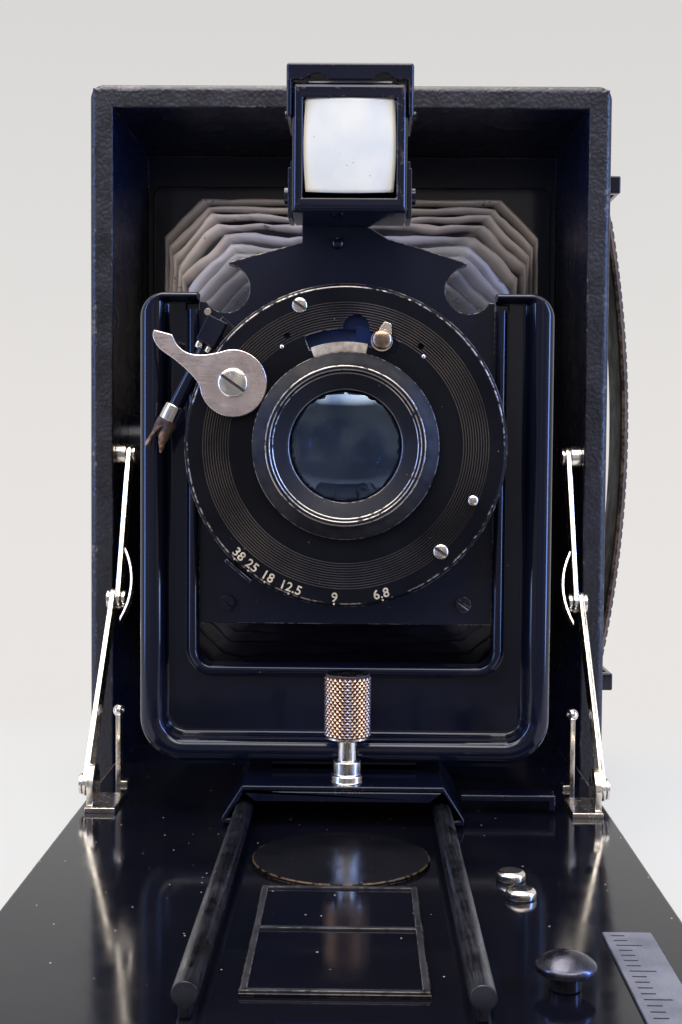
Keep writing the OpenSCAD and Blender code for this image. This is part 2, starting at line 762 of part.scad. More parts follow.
// Right half of the sheet that bridges the rails, seen from the front, drawn in by a margin
function carriage_edge(m) = [
    [shoulder_x - m / cos(carriage_slope) + m * tan(carriage_slope), carriage_top - m],
    [ear_x - m, ear_z - m * 0.3], [ear_x - m, lip_z - lip_t]
];

module carriage() color("#15171d") difference() {
    union() {
        slab(carriage_y, carriage_l) difference() {
            polygon(concat(carriage_edge(0), [for (i = [2:-1:0]) [-carriage_edge(0)[i][0], carriage_edge(0)[i][1]]]));
            polygon(concat(carriage_edge(carriage_t), [for (i = [2:-1:0])
                [-carriage_edge(carriage_t)[i][0], carriage_edge(carriage_t)[i][1]]]));
            translate([-ear_x, 0]) square([2 * ear_x, lip_z - lip_t]);
        }
        slab(carriage_y, carriage_t) polygon([
            [-shoulder_x, carriage_top - cut], [shoulder_x, carriage_top - cut],
            [rail_x - rail_head / 2 - pass, head_z + rail_head / 2], [-rail_x + rail_head / 2 + pass, head_z + rail_head / 2]
        ]);
        both_sides() translate([rail_x + rail_web / 2 + 0.15, carriage_y, lip_z - lip_t])
            cube([ear_x - rail_x - rail_web / 2 - 0.15, carriage_l, lip_t]);
        translate([knob_x, knob_y, carriage_top - 0.2]) cylinder(d = 5.9, h = 1.6);
        translate([knob_x, knob_y, carriage_top]) cylinder(d = 5.2, h = post_h);
    }
    translate([knob_x, knob_y, carriage_z - cut])
        cylinder(d = knob_neck_d + 2 * fit, h = post_h + 2 * cut + carriage_t);
}

// Scale pointer that reaches over the stops to the distance scale
module carriage_arm() color("#15171d") {
    translate([ear_x, arm_y, arm_z]) cube([arm_reach - ear_x, arm_w, arm_t]);
    translate([arm_reach - arm_t, arm_y, bed_t + label_t + pass]) cube([arm_t, arm_w, arm_z - bed_t - label_t - pass + cut / 2]);
}

module clamp_knob() color("#b9b5ac") translate([knob_x, knob_y, 0]) {
    translate([0, 0, knob_z]) cylinder(d1 = knob_d - 1, d2 = knob_d, h = 0.5);
    translate([0, 0, knob_z + 0.5]) cylinder(d = knob_d, h = knob_l - 1);
    translate([0, 0, knob_z + knob_l - 0.5]) cylinder(d1 = knob_d, d2 = knob_d - 1, h = 0.5);
    translate([0, 0, carriage_z - 1]) cylinder(d = knob_neck_d, h = knob_z - carriage_z + 1);
    translate([0, 0, carriage_z - 0.9]) cylinder(d = knob_neck_d + 2.4, h = 0.8);
}

// Outline of the pressed standard, drawn in by a margin
module standard_outline(margin) {
    w = standard_w / 2 - margin;
    low = frame_z + margin;
    high = arm_top - margin;
    r = standard_r - margin;
    r2 = max(4.6 - margin, 0.6);
    translate([-w + r, low]) square([2 * (w - r), high - low]);
    translate([-w, low + r]) square([2 * w, high - low - r - r2]);
    for (i = [-1, 1]) {
        translate([i * (w - r), low + r]) circle(r);
        translate([i * (w - r2), high - r2]) circle(r2);
    }
}

module standard_window(margin) {
    w = window_w / 2 + margin;
    translate([-w + 3, ledge_z - margin]) square([2 * w - 6, case_h]);
    translate([-w, ledge_z - margin + 3]) square([2 * w, case_h]);
    for (i = [-1, 1]) translate([i * (w - 3), ledge_z - margin + 3]) circle(3);
}

module standard_frame() color("#10141f") {
    slab(frame_back, sheet_t) difference() {
        standard_outline(0);
        standard_window(0);
    }
    slab(frame_y, standard_d - sheet_t) difference() {
        standard_outline(0);
        standard_outline(rim_w);
        standard_window(0);
    }
    slab(frame_y + 1, standard_d - sheet_t - 1) difference() {
        intersection() {
            standard_outline(rim_w);
            standard_window(inner_rim_w);
        }
        standard_window(0);
    }
    // Lugs behind the lens board, and the foot on the carriage
    both_sides() slab(frame_back, sheet_t) translate([window_w / 2 - 8, board_z]) square([9, 4.6]);
    translate([-14, frame_back, carriage_top]) cube([28, sheet_t, frame_z - carriage_top + cut]);
    translate([-14, frame_back, carriage_top]) cube([28, 12, 1.2]);
}

module board_outline() difference() {
    polygon([
        [-board_w / 2, board_z], [board_w / 2, board_z], [board_w / 2, shoulder_z],
        [notch_x, shoulder_z], [notch_x, arch_z - 3.8], [13, arch_z - 0.8],
        [neck_right + 4, arch_z + 0.6], [neck_right, arch_z + 3], [neck_right, neck_top],
        [neck_left, neck_top], [neck_left, arch_z], [-notch_x, arch_z - 3.8],
        [-notch_x, shoulder_z], [-board_w / 2, shoulder_z]
    ]);
    for (i = [-1, 1]) translate([i * (notch_x + 0.5), shoulder_z + 2.4]) circle(d = 9);
}

module lens_board() color("#131519") difference() {
    slab(board_y, board_t) board_outline();
    rod_y(0, board_y - cut, lens_z, board_t + 2 * cut, 2 * cell_r);
    for (i = [-1, 1]) rod_y(i * notch_x, board_y - cut, board_z + 4, board_t + 2 * cut, 2);
    rod_y(finder_x, board_y - cut, pivot_z, board_t + 2 * cut, rivet_d);
}

// Screws of the lens board, the face plate and the release lever, and the finder pivot
module standard_screws() color("#b9b5ac") {
    for (i = [-1, 1]) screw_y(i * notch_x, board_y - 0.7, board_z + 4, 3, 0.7, 2, board_t);
    rod_y(-26.4, board_y - 0.4, shoulder_z - 2, 0.4, 1.4);
    for (p = [[-8.5, 25.4], [17.5, -19.1]])
        screw_y(p[0], face_y - 0.5, lens_z + p[1], 2.8, 0.5, 1.6, face_t - 0.1);
    rod_y(23.2, face_y - 1, lens_z - 9.7, 1, 2);
    screw_y(lever_x, lever_y - 1, lens_z + lever_z, 5.4, 0.9, lever_screw_d, lever_t + 0.3 + face_t);
    rod_y(finder_x, board_y - 0.4 - bracket_t - 0.05, pivot_z, 0.4 + bracket_t + 0.05 + board_t, rivet_d);
    rod_y(finder_x, board_back, pivot_z, 0.6, 3);
    rod_y(finder_x, board_y - 0.35, pivot_z, 0.35, 3);
}

// Shutter

module shutter_case() color("#131519") difference() {
    turned(shutter_y) difference() {
        square([shutter_r, shutter_depth]);
        translate([0, -cut]) square([cavity_r, shutter_depth - shutter_wall + cut]);
        square([cell_r - 1.4, shutter_depth + cut]);
    }
    // Way out for the aperture pointer
    slot_arc(cavity_r + 1, 4, pointer_at + pointer_travel[0] - 8, pointer_at + pointer_travel[1] + 8,
             ring_y - 0.2, ring_t + 0.4);
}

// Fixed plate between the iris and the blades, with the pins of both
module shutter_plate() color("#8d8a80") {
    turned(plate_y) translate([stop_hole_r, 0]) square([cavity_r - stop_hole_r - 0.05, plate_t]);
    for (i = [0:iris_count - 1]) dial(i * 360 / iris_count)
        rod_y(0, iris_y - 0.15, iris_pivot_r, plate_y - iris_y + 0.4, iris_pin_d);
    rod_y(0, plate_y + plate_t, lens_z + blade_pivot_z, 2 * blade_t + 3 * blade_gap, blade_pin_d);
}

module slot_arc(r, w, from, to, y, t) difference() {
    turned(y) translate([r - w / 2, 0]) square([w, t]);
    dial(from) translate([-2 * r, 0, -2 * r]) cube([2 * r, 4 * case_w, 4 * r]);
    dial(to) translate([0, 0, -2 * r]) cube([2 * r, 4 * case_w, 4 * r]);
}

module face_plate() color("#17191e") difference() {
    turned(face_y) difference() {
        translate([cell_r, 0]) polygon([
            [0, 0], [face_r - 0.6 - cell_r, 0], [face_r - cell_r, 0.6],
            [face_r - cell_r, face_t], [0, face_t]
        ]);
        for (i = [0:grooves - 1]) translate([21.4 + i * 0.46, -cut]) square([0.22, groove_depth + cut]);
    }
    slot_arc(slot_r, slot_w, slot_from, slot_to, face_y - cut, face_t + 2 * cut);
    translate([1.8, 0, lens_z]) slab(face_y - cut, face_t + 2 * cut) {
        translate([-2.4, slot_r]) square([4.8, 2]);
        translate([0, slot_r + 1.6]) circle(d = 4.8);
    }
    for (p = [[-8.5, 25.4], [17.5, -19.1]])
        rod_y(p[0], face_y - cut, lens_z + p[1], face_t + 2 * cut, 1.6);
    for (p = [[-10.8, 20], [13.5, 18.2]]) rod_y(p[0], face_y - cut, lens_z + p[1], face_t + 2 * cut, 1.2);
    rod_y(lever_x, face_y - cut, lens_z + lever_z, face_t + 2 * cut, lever_screw_d);
}

// Bright index between the speed slot and the lens
module speed_tab() color("#c9c6b8") slot_arc(18, 1.8, -20, 12, face_y - 0.3, 0.3);

module speed_selector() color("#b9b5ac") dial(speed_at) {
    rod_y(0, face_y - 0.5, slot_r, face_t + 0.5 + 0.2 + selector_t, speed_pin_d);
    translate([0, 0, 0.2]) rod_y(0, face_y - 1.9, slot_r, 1.4, 4);
    translate([0, 0, slot_r + 0.2]) slab(face_y - 1.6, 0.8)
        polygon([[-1.9, 0], [-0.6, 3.4], [0.6, 3.4], [1.9, 0]]);
    translate([0, 0, -lens_z]) slot_arc(18, 8, -14, 14, selector_y, selector_t);
}

module aperture_ring() color("#c8c4ba") {
    turned(ring_y) translate([cavity_r - 5, 0]) square([4.9, ring_t]);
    dial(pointer_at) {
        translate([-1.5, ring_y, cavity_r - 1]) cube([3, ring_t, face_r + 1.6 - cavity_r]);
        translate([-pointer_w / 2, face_y - 0.2, face_r + 0.3]) cube([pointer_w, ring_y + ring_t - face_y + 0.2, 0.6]);
    }
}

// Curved leaf on its own layer, swung in about its pin
module iris_blade(i) color("#4a4c52") dial(i * 360 / iris_count) translate([0, 0, iris_pivot_r])
    rotate([0, -iris_set, 0]) difference() {
        slab(iris_y + i * iris_pitch, iris_t) translate([0, -iris_pivot_r]) {
            difference() {
                circle(r = iris_band[1]);
                circle(r = iris_band[0]);
                rotate(174) translate([-2 * iris_band[1], 0]) square(4 * iris_band[1]);
                rotate(-94) translate([-2 * iris_band[1], 0]) square(4 * iris_band[1]);
            }
            translate([0, iris_pivot_r]) circle(r = 1.4);
        }
        rod_y(0, iris_y - cut, 0, 10, iris_pin_d + 2 * fit);
    }

// One of the two blades that cross before the lens: s is -1 on the left and 1 on the right
module shutter_blade(s, y) color("#3c3e44") difference() {
    slab(y, blade_t) translate([0, lens_z]) {
        difference() {
            circle(r = stop_hole_r + 0.8);
            translate([s > 0 ? -20 - 0.6 : 0.6, -20]) square([20, 40]);
        }
        strip([0, blade_pivot_z], [s * 4, -8], 3.6);
    }
    rod_y(0, y - cut, lens_z + blade_pivot_z, blade_t + 2 * cut, blade_pin_d + 2 * fit);
}

// Lens

module lens_barrel() color("#1d1f22") turned(lens_front) polygon([
    [glass_d / 2 + 0.2, 2.6], [glass_d / 2 + 0.8, 2.2], [inner_ring_d / 2 - 0.8, 1.2],
    [inner_ring_d / 2 - 0.4, 0], [inner_ring_d / 2 + 0.4, 0], [inner_ring_d / 2 + 1, 0.8],
    [front_ring_d / 2 - 1.2, 1.2], [front_ring_d / 2, 2.2], [front_ring_d / 2, ring_out],
    [cell_r - 0.05, ring_out], [cell_r - 0.05, ring_out + 3.4], [glass_d / 2 + 0.2, ring_out + 3.4]
]);

module lens_glass(y, d, bulge, edge) {
    radius = (d * d / 4 + bulge * bulge) / (2 * bulge);
    rod_y(0, y, lens_z, edge, d);
    intersection() {
        translate([0, y + radius - bulge, lens_z]) sphere(r = radius, $fn = 96);
        rod_y(0, y - bulge - cut, lens_z, bulge + cut, d);
    }
}

module front_glass() color("#3a4a60") lens_glass(lens_front + 3, glass_d, 2.2, 3);

module rear_cell() color("#131519") difference() {
    rod_y(0, board_y - 1.4, lens_z, 11, 2 * cell_r - 3);
    rod_y(0, board_y - 1.4 - cut, lens_z, 11 + 2 * cut, glass_d - 0.5);
}

module rear_glass() color("#3a4a60") rod_y(0, board_y + 3, lens_z, 4, glass_d - 0.6);

// Release

// Closed line with each corner cut at a quarter of its sides
function eased(line) = [
    for (i = [0:len(line) - 1]) let (here = line[i], next = line[(i + 1) % len(line)])
        each [0.75 * here + 0.25 * next, 0.25 * here + 0.75 * next]
];

module lever_outline() {
    circle(d = lever_head_d);
    polygon(eased(eased(lever_line)));
}

module shutter_lever() color("#b3a9a0") difference() {
    translate([lever_x, 0, lens_z + lever_z]) slab(lever_y, lever_t) lever_outline();
    rod_y(lever_x, lever_y - cut, lens_z + lever_z, lever_t + 2 * cut, lever_screw_d + 2 * fit);
}

// Along the release cylinder: children run down from its upper end
module along_release(s) {
    d = release_to - release_from;
    at = release_from + d * s / norm(d);
    translate([at[0], release_y, lens_z + at[1]]) rotate([0, 90 - atan2(d[1], d[0]), 0]) children();
}

// Cylinder with its block, and the boss that carries both on the shutter case
module release_tube() color("#101114") difference() {
    union() {
        along_release(0) cylinder(d = release_d, h = release_l);
        along_release(-0.5) translate([-block_w / 2, -block_w, 0]) cube([block_w, block_w + 2, block_l]);
        dial(atan2(release_from[0], release_from[1])) translate([-1.5, release_y - 1.5, shutter_r - cut])
            cube([3, 3, norm(release_from) - shutter_r + cut]);
    }
    turned(face_y - cut) square([face_r + 0.1, face_t + cut + 0.1]);
    turned(shutter_y) square([shutter_r, shutter_depth + cut]);
    along_release(-cut) translate([0, 0, block_l + 2]) cylinder(d = release_d - 1.6, h = release_l);
}

// Collar at the end of the cylinder, and the two nuts under its block
module release_collar() color("#c4c0b8") {
    difference() {
        along_release(release_l - collar_l) cylinder(d = collar_d, h = collar_l);
        along_release(release_l - collar_l - cut) cylinder(d = release_d, h = collar_l + 2 * cut);
    }
    for (i = [-1, 1]) along_release(block_l - 0.5) translate([i, -release_d / 2 - nut_d / 2 - 0.1, 0])
        cylinder(d = nut_d, h = nut_d);
}

// Torn end of the rubber hose
module hose_stub() color("#3b2c22") difference() {
    along_release(release_l) cylinder(d = collar_d - 0.6, h = hose_l);
    along_release(release_l - cut) cylinder(d = collar_d - 2.2, h = hose_l + 2 * cut);
    for (i = [0:2]) along_release(release_l + hose_l) rotate(i * 60) rotate([0, 45, 0])
        cube([2.4, 8, 2.4], center = true);
}

// Finder

module finder_body() color("#0e1016") difference() {
    translate([finder_x - finder_w / 2, finder_y, finder_z]) cube([finder_w, finder_d, finder_h]);
    translate([finder_x - finder_w / 2 + finder_wall, finder_y + 1, finder_z + finder_wall])
        cube([finder_w - 2 * finder_wall, finder_d - 1 - finder_wall, finder_h - 2 * finder_wall]);
    translate([finder_x - finder_lens_w / 2, finder_y - cut, finder_z + 2.4])
        cube([finder_lens_w, 3, finder_h - 5.2]);
    translate([finder_x - 7.5, finder_y + 2, finder_top - cut]) cube([15, 11.6, 2 * cut]);
    for (z = [lower_rivet_z, hood_pin_z])
        rod_x(finder_x - finder_w, z == hood_pin_z ? hood_pin_y : lower_rivet_y, z, 2 * finder_w, rivet_d);
}

// Back plate and ears of the finder, turning on the pivot in the neck of the lens board
module finder_bracket() color("#15171d") {
    difference() {
        slab(finder_back + 0.05, bracket_t) translate([finder_x, finder_z]) polygon([
            [-4, 0], [4, 0], [5, 3.4], [bracket_x, 3.4], [bracket_x, 12], [-bracket_x, 12],
            [-bracket_x, 3.4], [-5, 3.4]
        ]);
        rod_y(finder_x, finder_back - cut, pivot_z, bracket_t + 2 * cut, rivet_d + 2 * fit);
    }
    for (i = [-1, 1]) {
        translate([finder_x + i * (finder_w / 2 + 0.1 + cheek_t / 2) - cheek_t / 2, lower_rivet_y - 3, finder_z])
            cube([cheek_t, finder_back + 0.05 - lower_rivet_y + 3, 9]);
        rod_x(finder_x + i * finder_w / 2 - (i < 0 ? cheek_t + 0.9 : 0.5), lower_rivet_y, lower_rivet_z,
              cheek_t + 1.4, rivet_d);
        rod_x(finder_x + i * (finder_w / 2 + cheek_t + 0.5) - 0.4, lower_rivet_y, lower_rivet_z, 0.8, 3);
        rod_x(finder_x + i * finder_w / 2 - (i < 0 ? cheek_t + 1 : 0.5), hood_pin_y, hood_pin_z,
              cheek_t + 1.5, rivet_d);
    }
}

module finder_lens() color("#dfe6ec") intersection() {
    translate([finder_x - finder_lens_w / 2 + 0.05, finder_y - 2, finder_z + 2.45])
        cube([finder_lens_w - 0.1, 3.6, finder_h - 5.3]);
    translate([finder_x, finder_y + 26.6, finder_z + finder_h / 2 - 0.2]) sphere(r = 28, $fn = 96);
}

module finder_mirror() color("#d5dade")
    translate([finder_x - finder_w / 2 + finder_wall + 0.1, finder_y + 2.6, finder_top - 2.4])
        rotate([-53, 0, 0]) translate([0, 0, -0.8]) cube([finder_w - 2 * finder_wall - 0.2, 19, 0.8]);

module finder_top_lens() color("#dfe6ec")
    translate([finder_x - 7.4, finder_y + 2.1, finder_top - 0.7]) cube([14.8, 11.4, 1.2]);

module finder_hood() color("#0e1016") difference() {
    union() {
        translate([finder_x - finder_w / 2 - 0.1 - cheek_t, finder_y, finder_top + hood_rise - 1])
            cube([finder_w + 0.2 + 2 * cheek_t, finder_d, 1]);
        for (i = [-1, 1])
            translate([finder_x + i * (finder_w / 2 + 0.1 + cheek_t / 2) - cheek_t / 2, finder_y, hood_pin_z - 3])
                cube([cheek_t, finder_d, finder_top + hood_rise - hood_pin_z + 3]);
        translate([finder_x - finder_w / 2 - 0.1, finder_y, finder_top + hood_rise - 3])
            cube([finder_w + 0.2, 0.9, 2.5]);
    }
    for (i = [-1, 1]) rod_y(finder_x + i * 6, finder_y - cut, finder_top - 1.1, cut + 0.95, 5);
    rod_x(finder_x - finder_w, hood_pin_y, hood_pin_z, 2 * finder_w, rivet_d + 2 * fit);
}

case_shell();
case_leather();
bottom_leather();
floor_rails();
bellows_frame();
bellows();
back_frame();
strap();
strap_loops();
side_tripod_bush();
bed_board();
bed_rails();
tripod_bush();
label_plate();
distance_scale();
bed_stops();
bed_catch();
hinge_leaves();
hinge_pin();
upper_braces();
lower_braces();
brace_fittings();
brace_springs();
screen_frame();
ground_glass();
screen_hood();
release_button();
carriage();
carriage_arm();
clamp_knob();
standard_frame();
lens_board();
standard_screws();
shutter_case();
shutter_plate();
face_plate();
speed_tab();
speed_selector();
aperture_ring();
iris_blade(0);  // iris_blade_1
iris_blade(1);  // iris_blade_2
iris_blade(2);  // iris_blade_3
iris_blade(3);  // iris_blade_4
iris_blade(4);  // iris_blade_5
shutter_blade(-1, blade_y);  // shutter_blade_a
shutter_blade(1, blade_y + blade_t + blade_gap);  // shutter_blade_b
lens_barrel();
front_glass();
rear_cell();
rear_glass();
shutter_lever();
release_tube();
release_collar();
hose_stub();
finder_bracket();
finder_body();
finder_lens();
finder_mirror();
finder_top_lens();
finder_hood();
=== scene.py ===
"""Folding plate camera for 9 x 12 cm plates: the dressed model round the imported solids."""

import json
import math

import bmesh
import bpy
import numpy as np
from mathutils import Euler, Matrix, Vector, noise

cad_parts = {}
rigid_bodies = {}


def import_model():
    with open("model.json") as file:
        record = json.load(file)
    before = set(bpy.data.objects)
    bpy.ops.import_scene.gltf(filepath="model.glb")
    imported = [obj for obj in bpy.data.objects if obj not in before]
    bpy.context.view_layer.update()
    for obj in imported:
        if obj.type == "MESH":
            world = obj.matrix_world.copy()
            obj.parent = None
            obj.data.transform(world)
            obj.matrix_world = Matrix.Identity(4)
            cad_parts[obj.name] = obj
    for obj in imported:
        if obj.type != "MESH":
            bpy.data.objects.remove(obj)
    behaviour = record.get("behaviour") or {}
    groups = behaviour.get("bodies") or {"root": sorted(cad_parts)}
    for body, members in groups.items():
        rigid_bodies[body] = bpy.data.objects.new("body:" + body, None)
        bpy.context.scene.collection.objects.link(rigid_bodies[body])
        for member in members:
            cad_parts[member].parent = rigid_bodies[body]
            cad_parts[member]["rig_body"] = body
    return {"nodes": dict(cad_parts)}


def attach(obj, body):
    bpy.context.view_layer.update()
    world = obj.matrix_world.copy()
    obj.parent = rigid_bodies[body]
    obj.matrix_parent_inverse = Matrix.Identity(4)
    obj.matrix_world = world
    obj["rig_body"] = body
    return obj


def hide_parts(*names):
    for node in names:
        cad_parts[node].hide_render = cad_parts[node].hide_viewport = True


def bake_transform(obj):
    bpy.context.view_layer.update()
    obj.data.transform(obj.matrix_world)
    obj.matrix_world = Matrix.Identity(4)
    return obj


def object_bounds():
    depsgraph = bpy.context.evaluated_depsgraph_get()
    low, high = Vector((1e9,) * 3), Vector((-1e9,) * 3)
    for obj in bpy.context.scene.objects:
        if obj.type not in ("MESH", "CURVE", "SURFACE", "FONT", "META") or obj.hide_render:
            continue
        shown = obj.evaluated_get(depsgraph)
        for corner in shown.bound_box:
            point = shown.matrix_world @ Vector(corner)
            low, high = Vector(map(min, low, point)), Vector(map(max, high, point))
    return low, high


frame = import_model()
cad_box = [list(corner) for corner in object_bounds()]
scene = bpy.context.scene
scene.view_settings.view_transform = "Standard"

MM = 0.001
LENS_Z = 78.0  # height of the lens axis
FACE_Y = 21.5  # front of the face plate
BED_TOP = 8.0
SHARP = math.radians(28)  # edges turned by more than this get rounded
MATH, VECTOR, RANGE = "ShaderNodeMath", "ShaderNodeVectorMath", "ShaderNodeMapRange"
MIX, NOISE = "ShaderNodeMix", "ShaderNodeTexNoise"
TIMES, PLUS, MINUS = ({"operation": name} for name in ("MULTIPLY", "ADD", "SUBTRACT"))
TINT = {"data_type": "RGBA", "out": 2}  # for a node that mixes two colours


# Tools

def ink(code):
    """Linear colour from an sRGB hex value."""
    parts = [int(code[i:i + 2], 16) / 255 for i in (1, 3, 5)]
    return tuple(p / 12.92 if p <= 0.04045 else ((p + 0.055) / 1.055) ** 2.4 for p in parts) + (1.0,)


def add(tree, kind, inputs=(), out=0, **settings):
    """Adds a node, sets its options, fills or links its inputs, and gives one of its outputs."""
    made = tree.nodes.new(kind)
    for key, value in settings.items():
        setattr(made, key, value)
    for key, value in inputs.items() if isinstance(inputs, dict) else enumerate(inputs):
        if isinstance(value, bpy.types.NodeSocket):
            tree.links.new(value, made.inputs[key])
        else:
            made.inputs[key].default_value = value
    return made.outputs[out] if made.outputs else made


def new_object(name, data):
    made = bpy.data.objects.new(name, data)
    scene.collection.objects.link(made)
    return made


# Noise keeps near its middle, so these parts of it are spread from 0 to 1
PATCHES, HAZE, HAIR = (0.36, 0.64), (0.3, 0.7), (0.3, 0.7)
HAZE_FINER = 2.3  # spots of gloss in one patch of colour
# Painted shade in the hollows of pebbled grain: the span over which it sets in, its strength and its colour
PEBBLE_EDGE, PEBBLE_DARK, CREVICE_SHADE = (0.2, 0.75), 0.75, "#0b0a0a"
SCRATCH_DEPTH, SCRATCH_GLOSS = 0.004, (-0.07, 0.09)
GROOVE, RING_LEAD = (0.1, 0.19), 0.05  # mm: bright part of a turned ring and its end, start of the first
RING_SHOWS = (0.35, 0.9)  # in the two tones of the finish
RUB_SHORT, RUB_LONG = 0.9, 9.0  # mm
RUB_START, RUB_BY_SHARE, RUB_SOFT = 1.32, 0.6, 0.09
DUST_SKIPS, DUST_ROUGH = 0.62, 0.8


def surface(name, base, tone, patch=12.0, rough=(0.3, 0.5), metal=0.0, grain=None, worn=None,
            dust=None, brushed=None, rings=None, **sockets):
    """A finish on object coordinates, its sizes in millimetres.

    grain is (size, height), with "cells" after them for pebbled leather, worn is
    (colour, metallic, roughness, share) on rounded edges, and on the bellows folds, where it is rubbing and
    painted highlight, dust is (colour, spacing, size), brushed is the stretch of the scratches along x, y and
    z, and rings is (first radius, last radius, pitch, colour) about the lens axis."""
    made = bpy.data.materials.new(name)
    made.use_nodes = True
    tree = made.node_tree
    shader = tree.nodes["Principled BSDF"]
    place = add(tree, "ShaderNodeTexCoord", out="Object")
    cloud = add(tree, NOISE, {"Vector": place, "Scale": 1 / (patch * MM), "Detail": 6.0})
    spread = add(tree, RANGE, [cloud, *PATCHES])
    colour = add(tree, MIX, {0: spread, 6: ink(base), 7: ink(tone)}, **TINT)
    haze = add(tree, NOISE, {"Vector": place, "Scale": HAZE_FINER / (patch * MM), "Detail": 8.0})
    gloss = add(tree, RANGE, [haze, *HAZE, *rough])
    metallic = metal
    height = None
    if grain:
        size, depth, *cells = grain
        if cells:
            cell = add(tree, "ShaderNodeTexVoronoi", {"Vector": place, "Scale": 1 / (size * MM)}, "Distance",
                       feature="SMOOTH_F1")
            lift = add(tree, MATH, [1.0, cell], **MINUS)
            # Painted shade: the colour darkens towards the hollows between the pebbles
            low = add(tree, RANGE, [cell, *PEBBLE_EDGE, 0.0, PEBBLE_DARK])
            colour = add(tree, MIX, {0: low, 6: colour, 7: ink(CREVICE_SHADE)}, **TINT)
        else:
            lift = add(tree, NOISE, {"Vector": place, "Scale": 1 / (size * MM), "Detail": 3.0})
        height = add(tree, MATH, [lift, depth * MM], **TIMES)
    if brushed:
        run = add(tree, "ShaderNodeMapping", {"Vector": place, "Scale": tuple(1 / (s * MM) for s in brushed)})
        hair = add(tree, NOISE, {"Vector": run, "Scale": 1.0, "Detail": 4.0})
        more = add(tree, RANGE, [hair, *HAIR, *SCRATCH_GLOSS])
        gloss = add(tree, MATH, [gloss, more], **PLUS, use_clamp=True)
        line = add(tree, MATH, [hair, SCRATCH_DEPTH * MM], **TIMES)
        height = line if height is None else add(tree, MATH, [height, line], **PLUS)
    if rings:
        first, last, pitch, tint = rings
        off = add(tree, VECTOR, [place, (0, 0, LENS_Z * MM)], **MINUS)
        flat = add(tree, VECTOR, [off, (1, 0, 1)], **TIMES)
        away = add(tree, VECTOR, [flat], "Value", operation="LENGTH")
        turn = add(tree, MATH, [away, first * MM], **MINUS)
        saw = add(tree, MATH, [turn, pitch * MM], operation="FLOORED_MODULO")
        lip = add(tree, RANGE, [saw, GROOVE[0] * MM, GROOVE[1] * MM, 1.0, 0.0])
        inside = add(tree, MATH, [away, (first - RING_LEAD) * MM], operation="GREATER_THAN")
        within = add(tree, MATH, [away, last * MM], operation="LESS_THAN")
        faint = add(tree, RANGE, {0: spread, 3: RING_SHOWS[0], 4: RING_SHOWS[1]})
        for part in (inside, within, lip):
            faint = add(tree, MATH, [faint, part], **TIMES)
        colour = add(tree, MIX, {0: faint, 6: colour, 7: ink(tint)}, **TINT)
    if worn:
        tint, worn_metal, worn_rough, share = worn
        edge = add(tree, "ShaderNodeAttribute", out="Fac", attribute_name="Wear")
        short = add(tree, NOISE, {"Vector": place, "Scale": 1 / (RUB_SHORT * MM), "Detail": 5.0})
        long = add(tree, NOISE, {"Vector": place, "Scale": 1 / (RUB_LONG * MM), "Detail": 3.0})
        both = add(tree, MATH, [short, long], **PLUS)
        start = RUB_START - RUB_BY_SHARE * share
        broken = add(tree, RANGE, [both, start - RUB_SOFT, start + RUB_SOFT])
        bare = add(tree, MATH, [broken, edge], **TIMES, use_clamp=True)
        colour = add(tree, MIX, {0: bare, 6: colour, 7: ink(tint)}, **TINT)
        gloss = add(tree, MIX, {0: bare, 2: gloss, 3: worn_rough})
        if metal != worn_metal:
            metallic = add(tree, MIX, {0: bare, 2: metal, 3: worn_metal})
    if dust:
        tint, spacing, size = dust
        grit = add(tree, "ShaderNodeTexVoronoi", {"Vector": place, "Scale": 1 / (spacing * MM)}).node.outputs
        small = add(tree, RANGE, [grit["Distance"], size / spacing, 0.5 * size / spacing])
        pick = add(tree, "ShaderNodeSeparateColor", [grit["Color"]])
        chosen = add(tree, MATH, [pick, DUST_SKIPS], operation="GREATER_THAN")
        speck = add(tree, MATH, [small, chosen], **TIMES)
        colour = add(tree, MIX, {0: speck, 6: colour, 7: ink(tint)}, **TINT)
        gloss = add(tree, MIX, {0: speck, 2: gloss, 3: DUST_ROUGH})
        if metal and not isinstance(metallic, float):
            metallic = add(tree, MIX, {0: speck, 2: metallic, 3: 0.0})
    tree.links.new(colour, shader.inputs["Base Color"])
    tree.links.new(gloss, shader.inputs["Roughness"])
    if isinstance(metallic, float):
        shader.inputs["Metallic"].default_value = metallic
    else:
        tree.links.new(metallic, shader.inputs["Metallic"])
    if height is not None:
        bump = add(tree, "ShaderNodeBump", {"Height": height, "Strength": 1.0, "Distance": 1.0})
        tree.links.new(bump, shader.inputs["Normal"])
    for key, value in sockets.items():
        shader.inputs[key.replace("_", " ")].default_value = value
    return made


# Finishes

# Goatskin over the wooden case, dyed black and pebbled: soft sheen on the grain, brown where rubbed
covering = surface("pebbled_goatskin", "#131317", "#1e1c1f", 15, (0.32, 0.54), grain=(0.7, 0.12, "cells"),
                   worn=("#57514d", 0.0, 0.5, 0.2), dust=("#6f6861", 4.0, 0.12))
# Thin bellows skin: semi-gloss, its folds rubbed grey-brown, and pale painted highlights on the crests
skin = surface("bellows_skin", "#0e0d11", "#161418", 9, (0.26, 0.42), grain=(0.5, 0.04),
               worn=("#f0e6de", 0.0, 0.36, 1.1), Specular_IOR_Level=0.3)
# Saddle leather strap: smooth, brown-black, lighter on the cut edge
saddle = surface("strap_leather", "#241d1a", "#33281f", 10, (0.4, 0.6), grain=(0.45, 0.03, "cells"),
                 worn=("#6b5442", 0.0, 0.6, 0.5))
# Black japan over beech: bed and inside of the case, glossy with dust and faint brown spots
japan = surface("black_japan_on_beech", "#090b13", "#0e0e14", 18, (0.06, 0.14), grain=(6.0, 0.012),
                worn=("#4b4038", 0.0, 0.5, 0.45), dust=("#c9bbaa", 2.4, 0.17), Specular_IOR_Level=0.36)
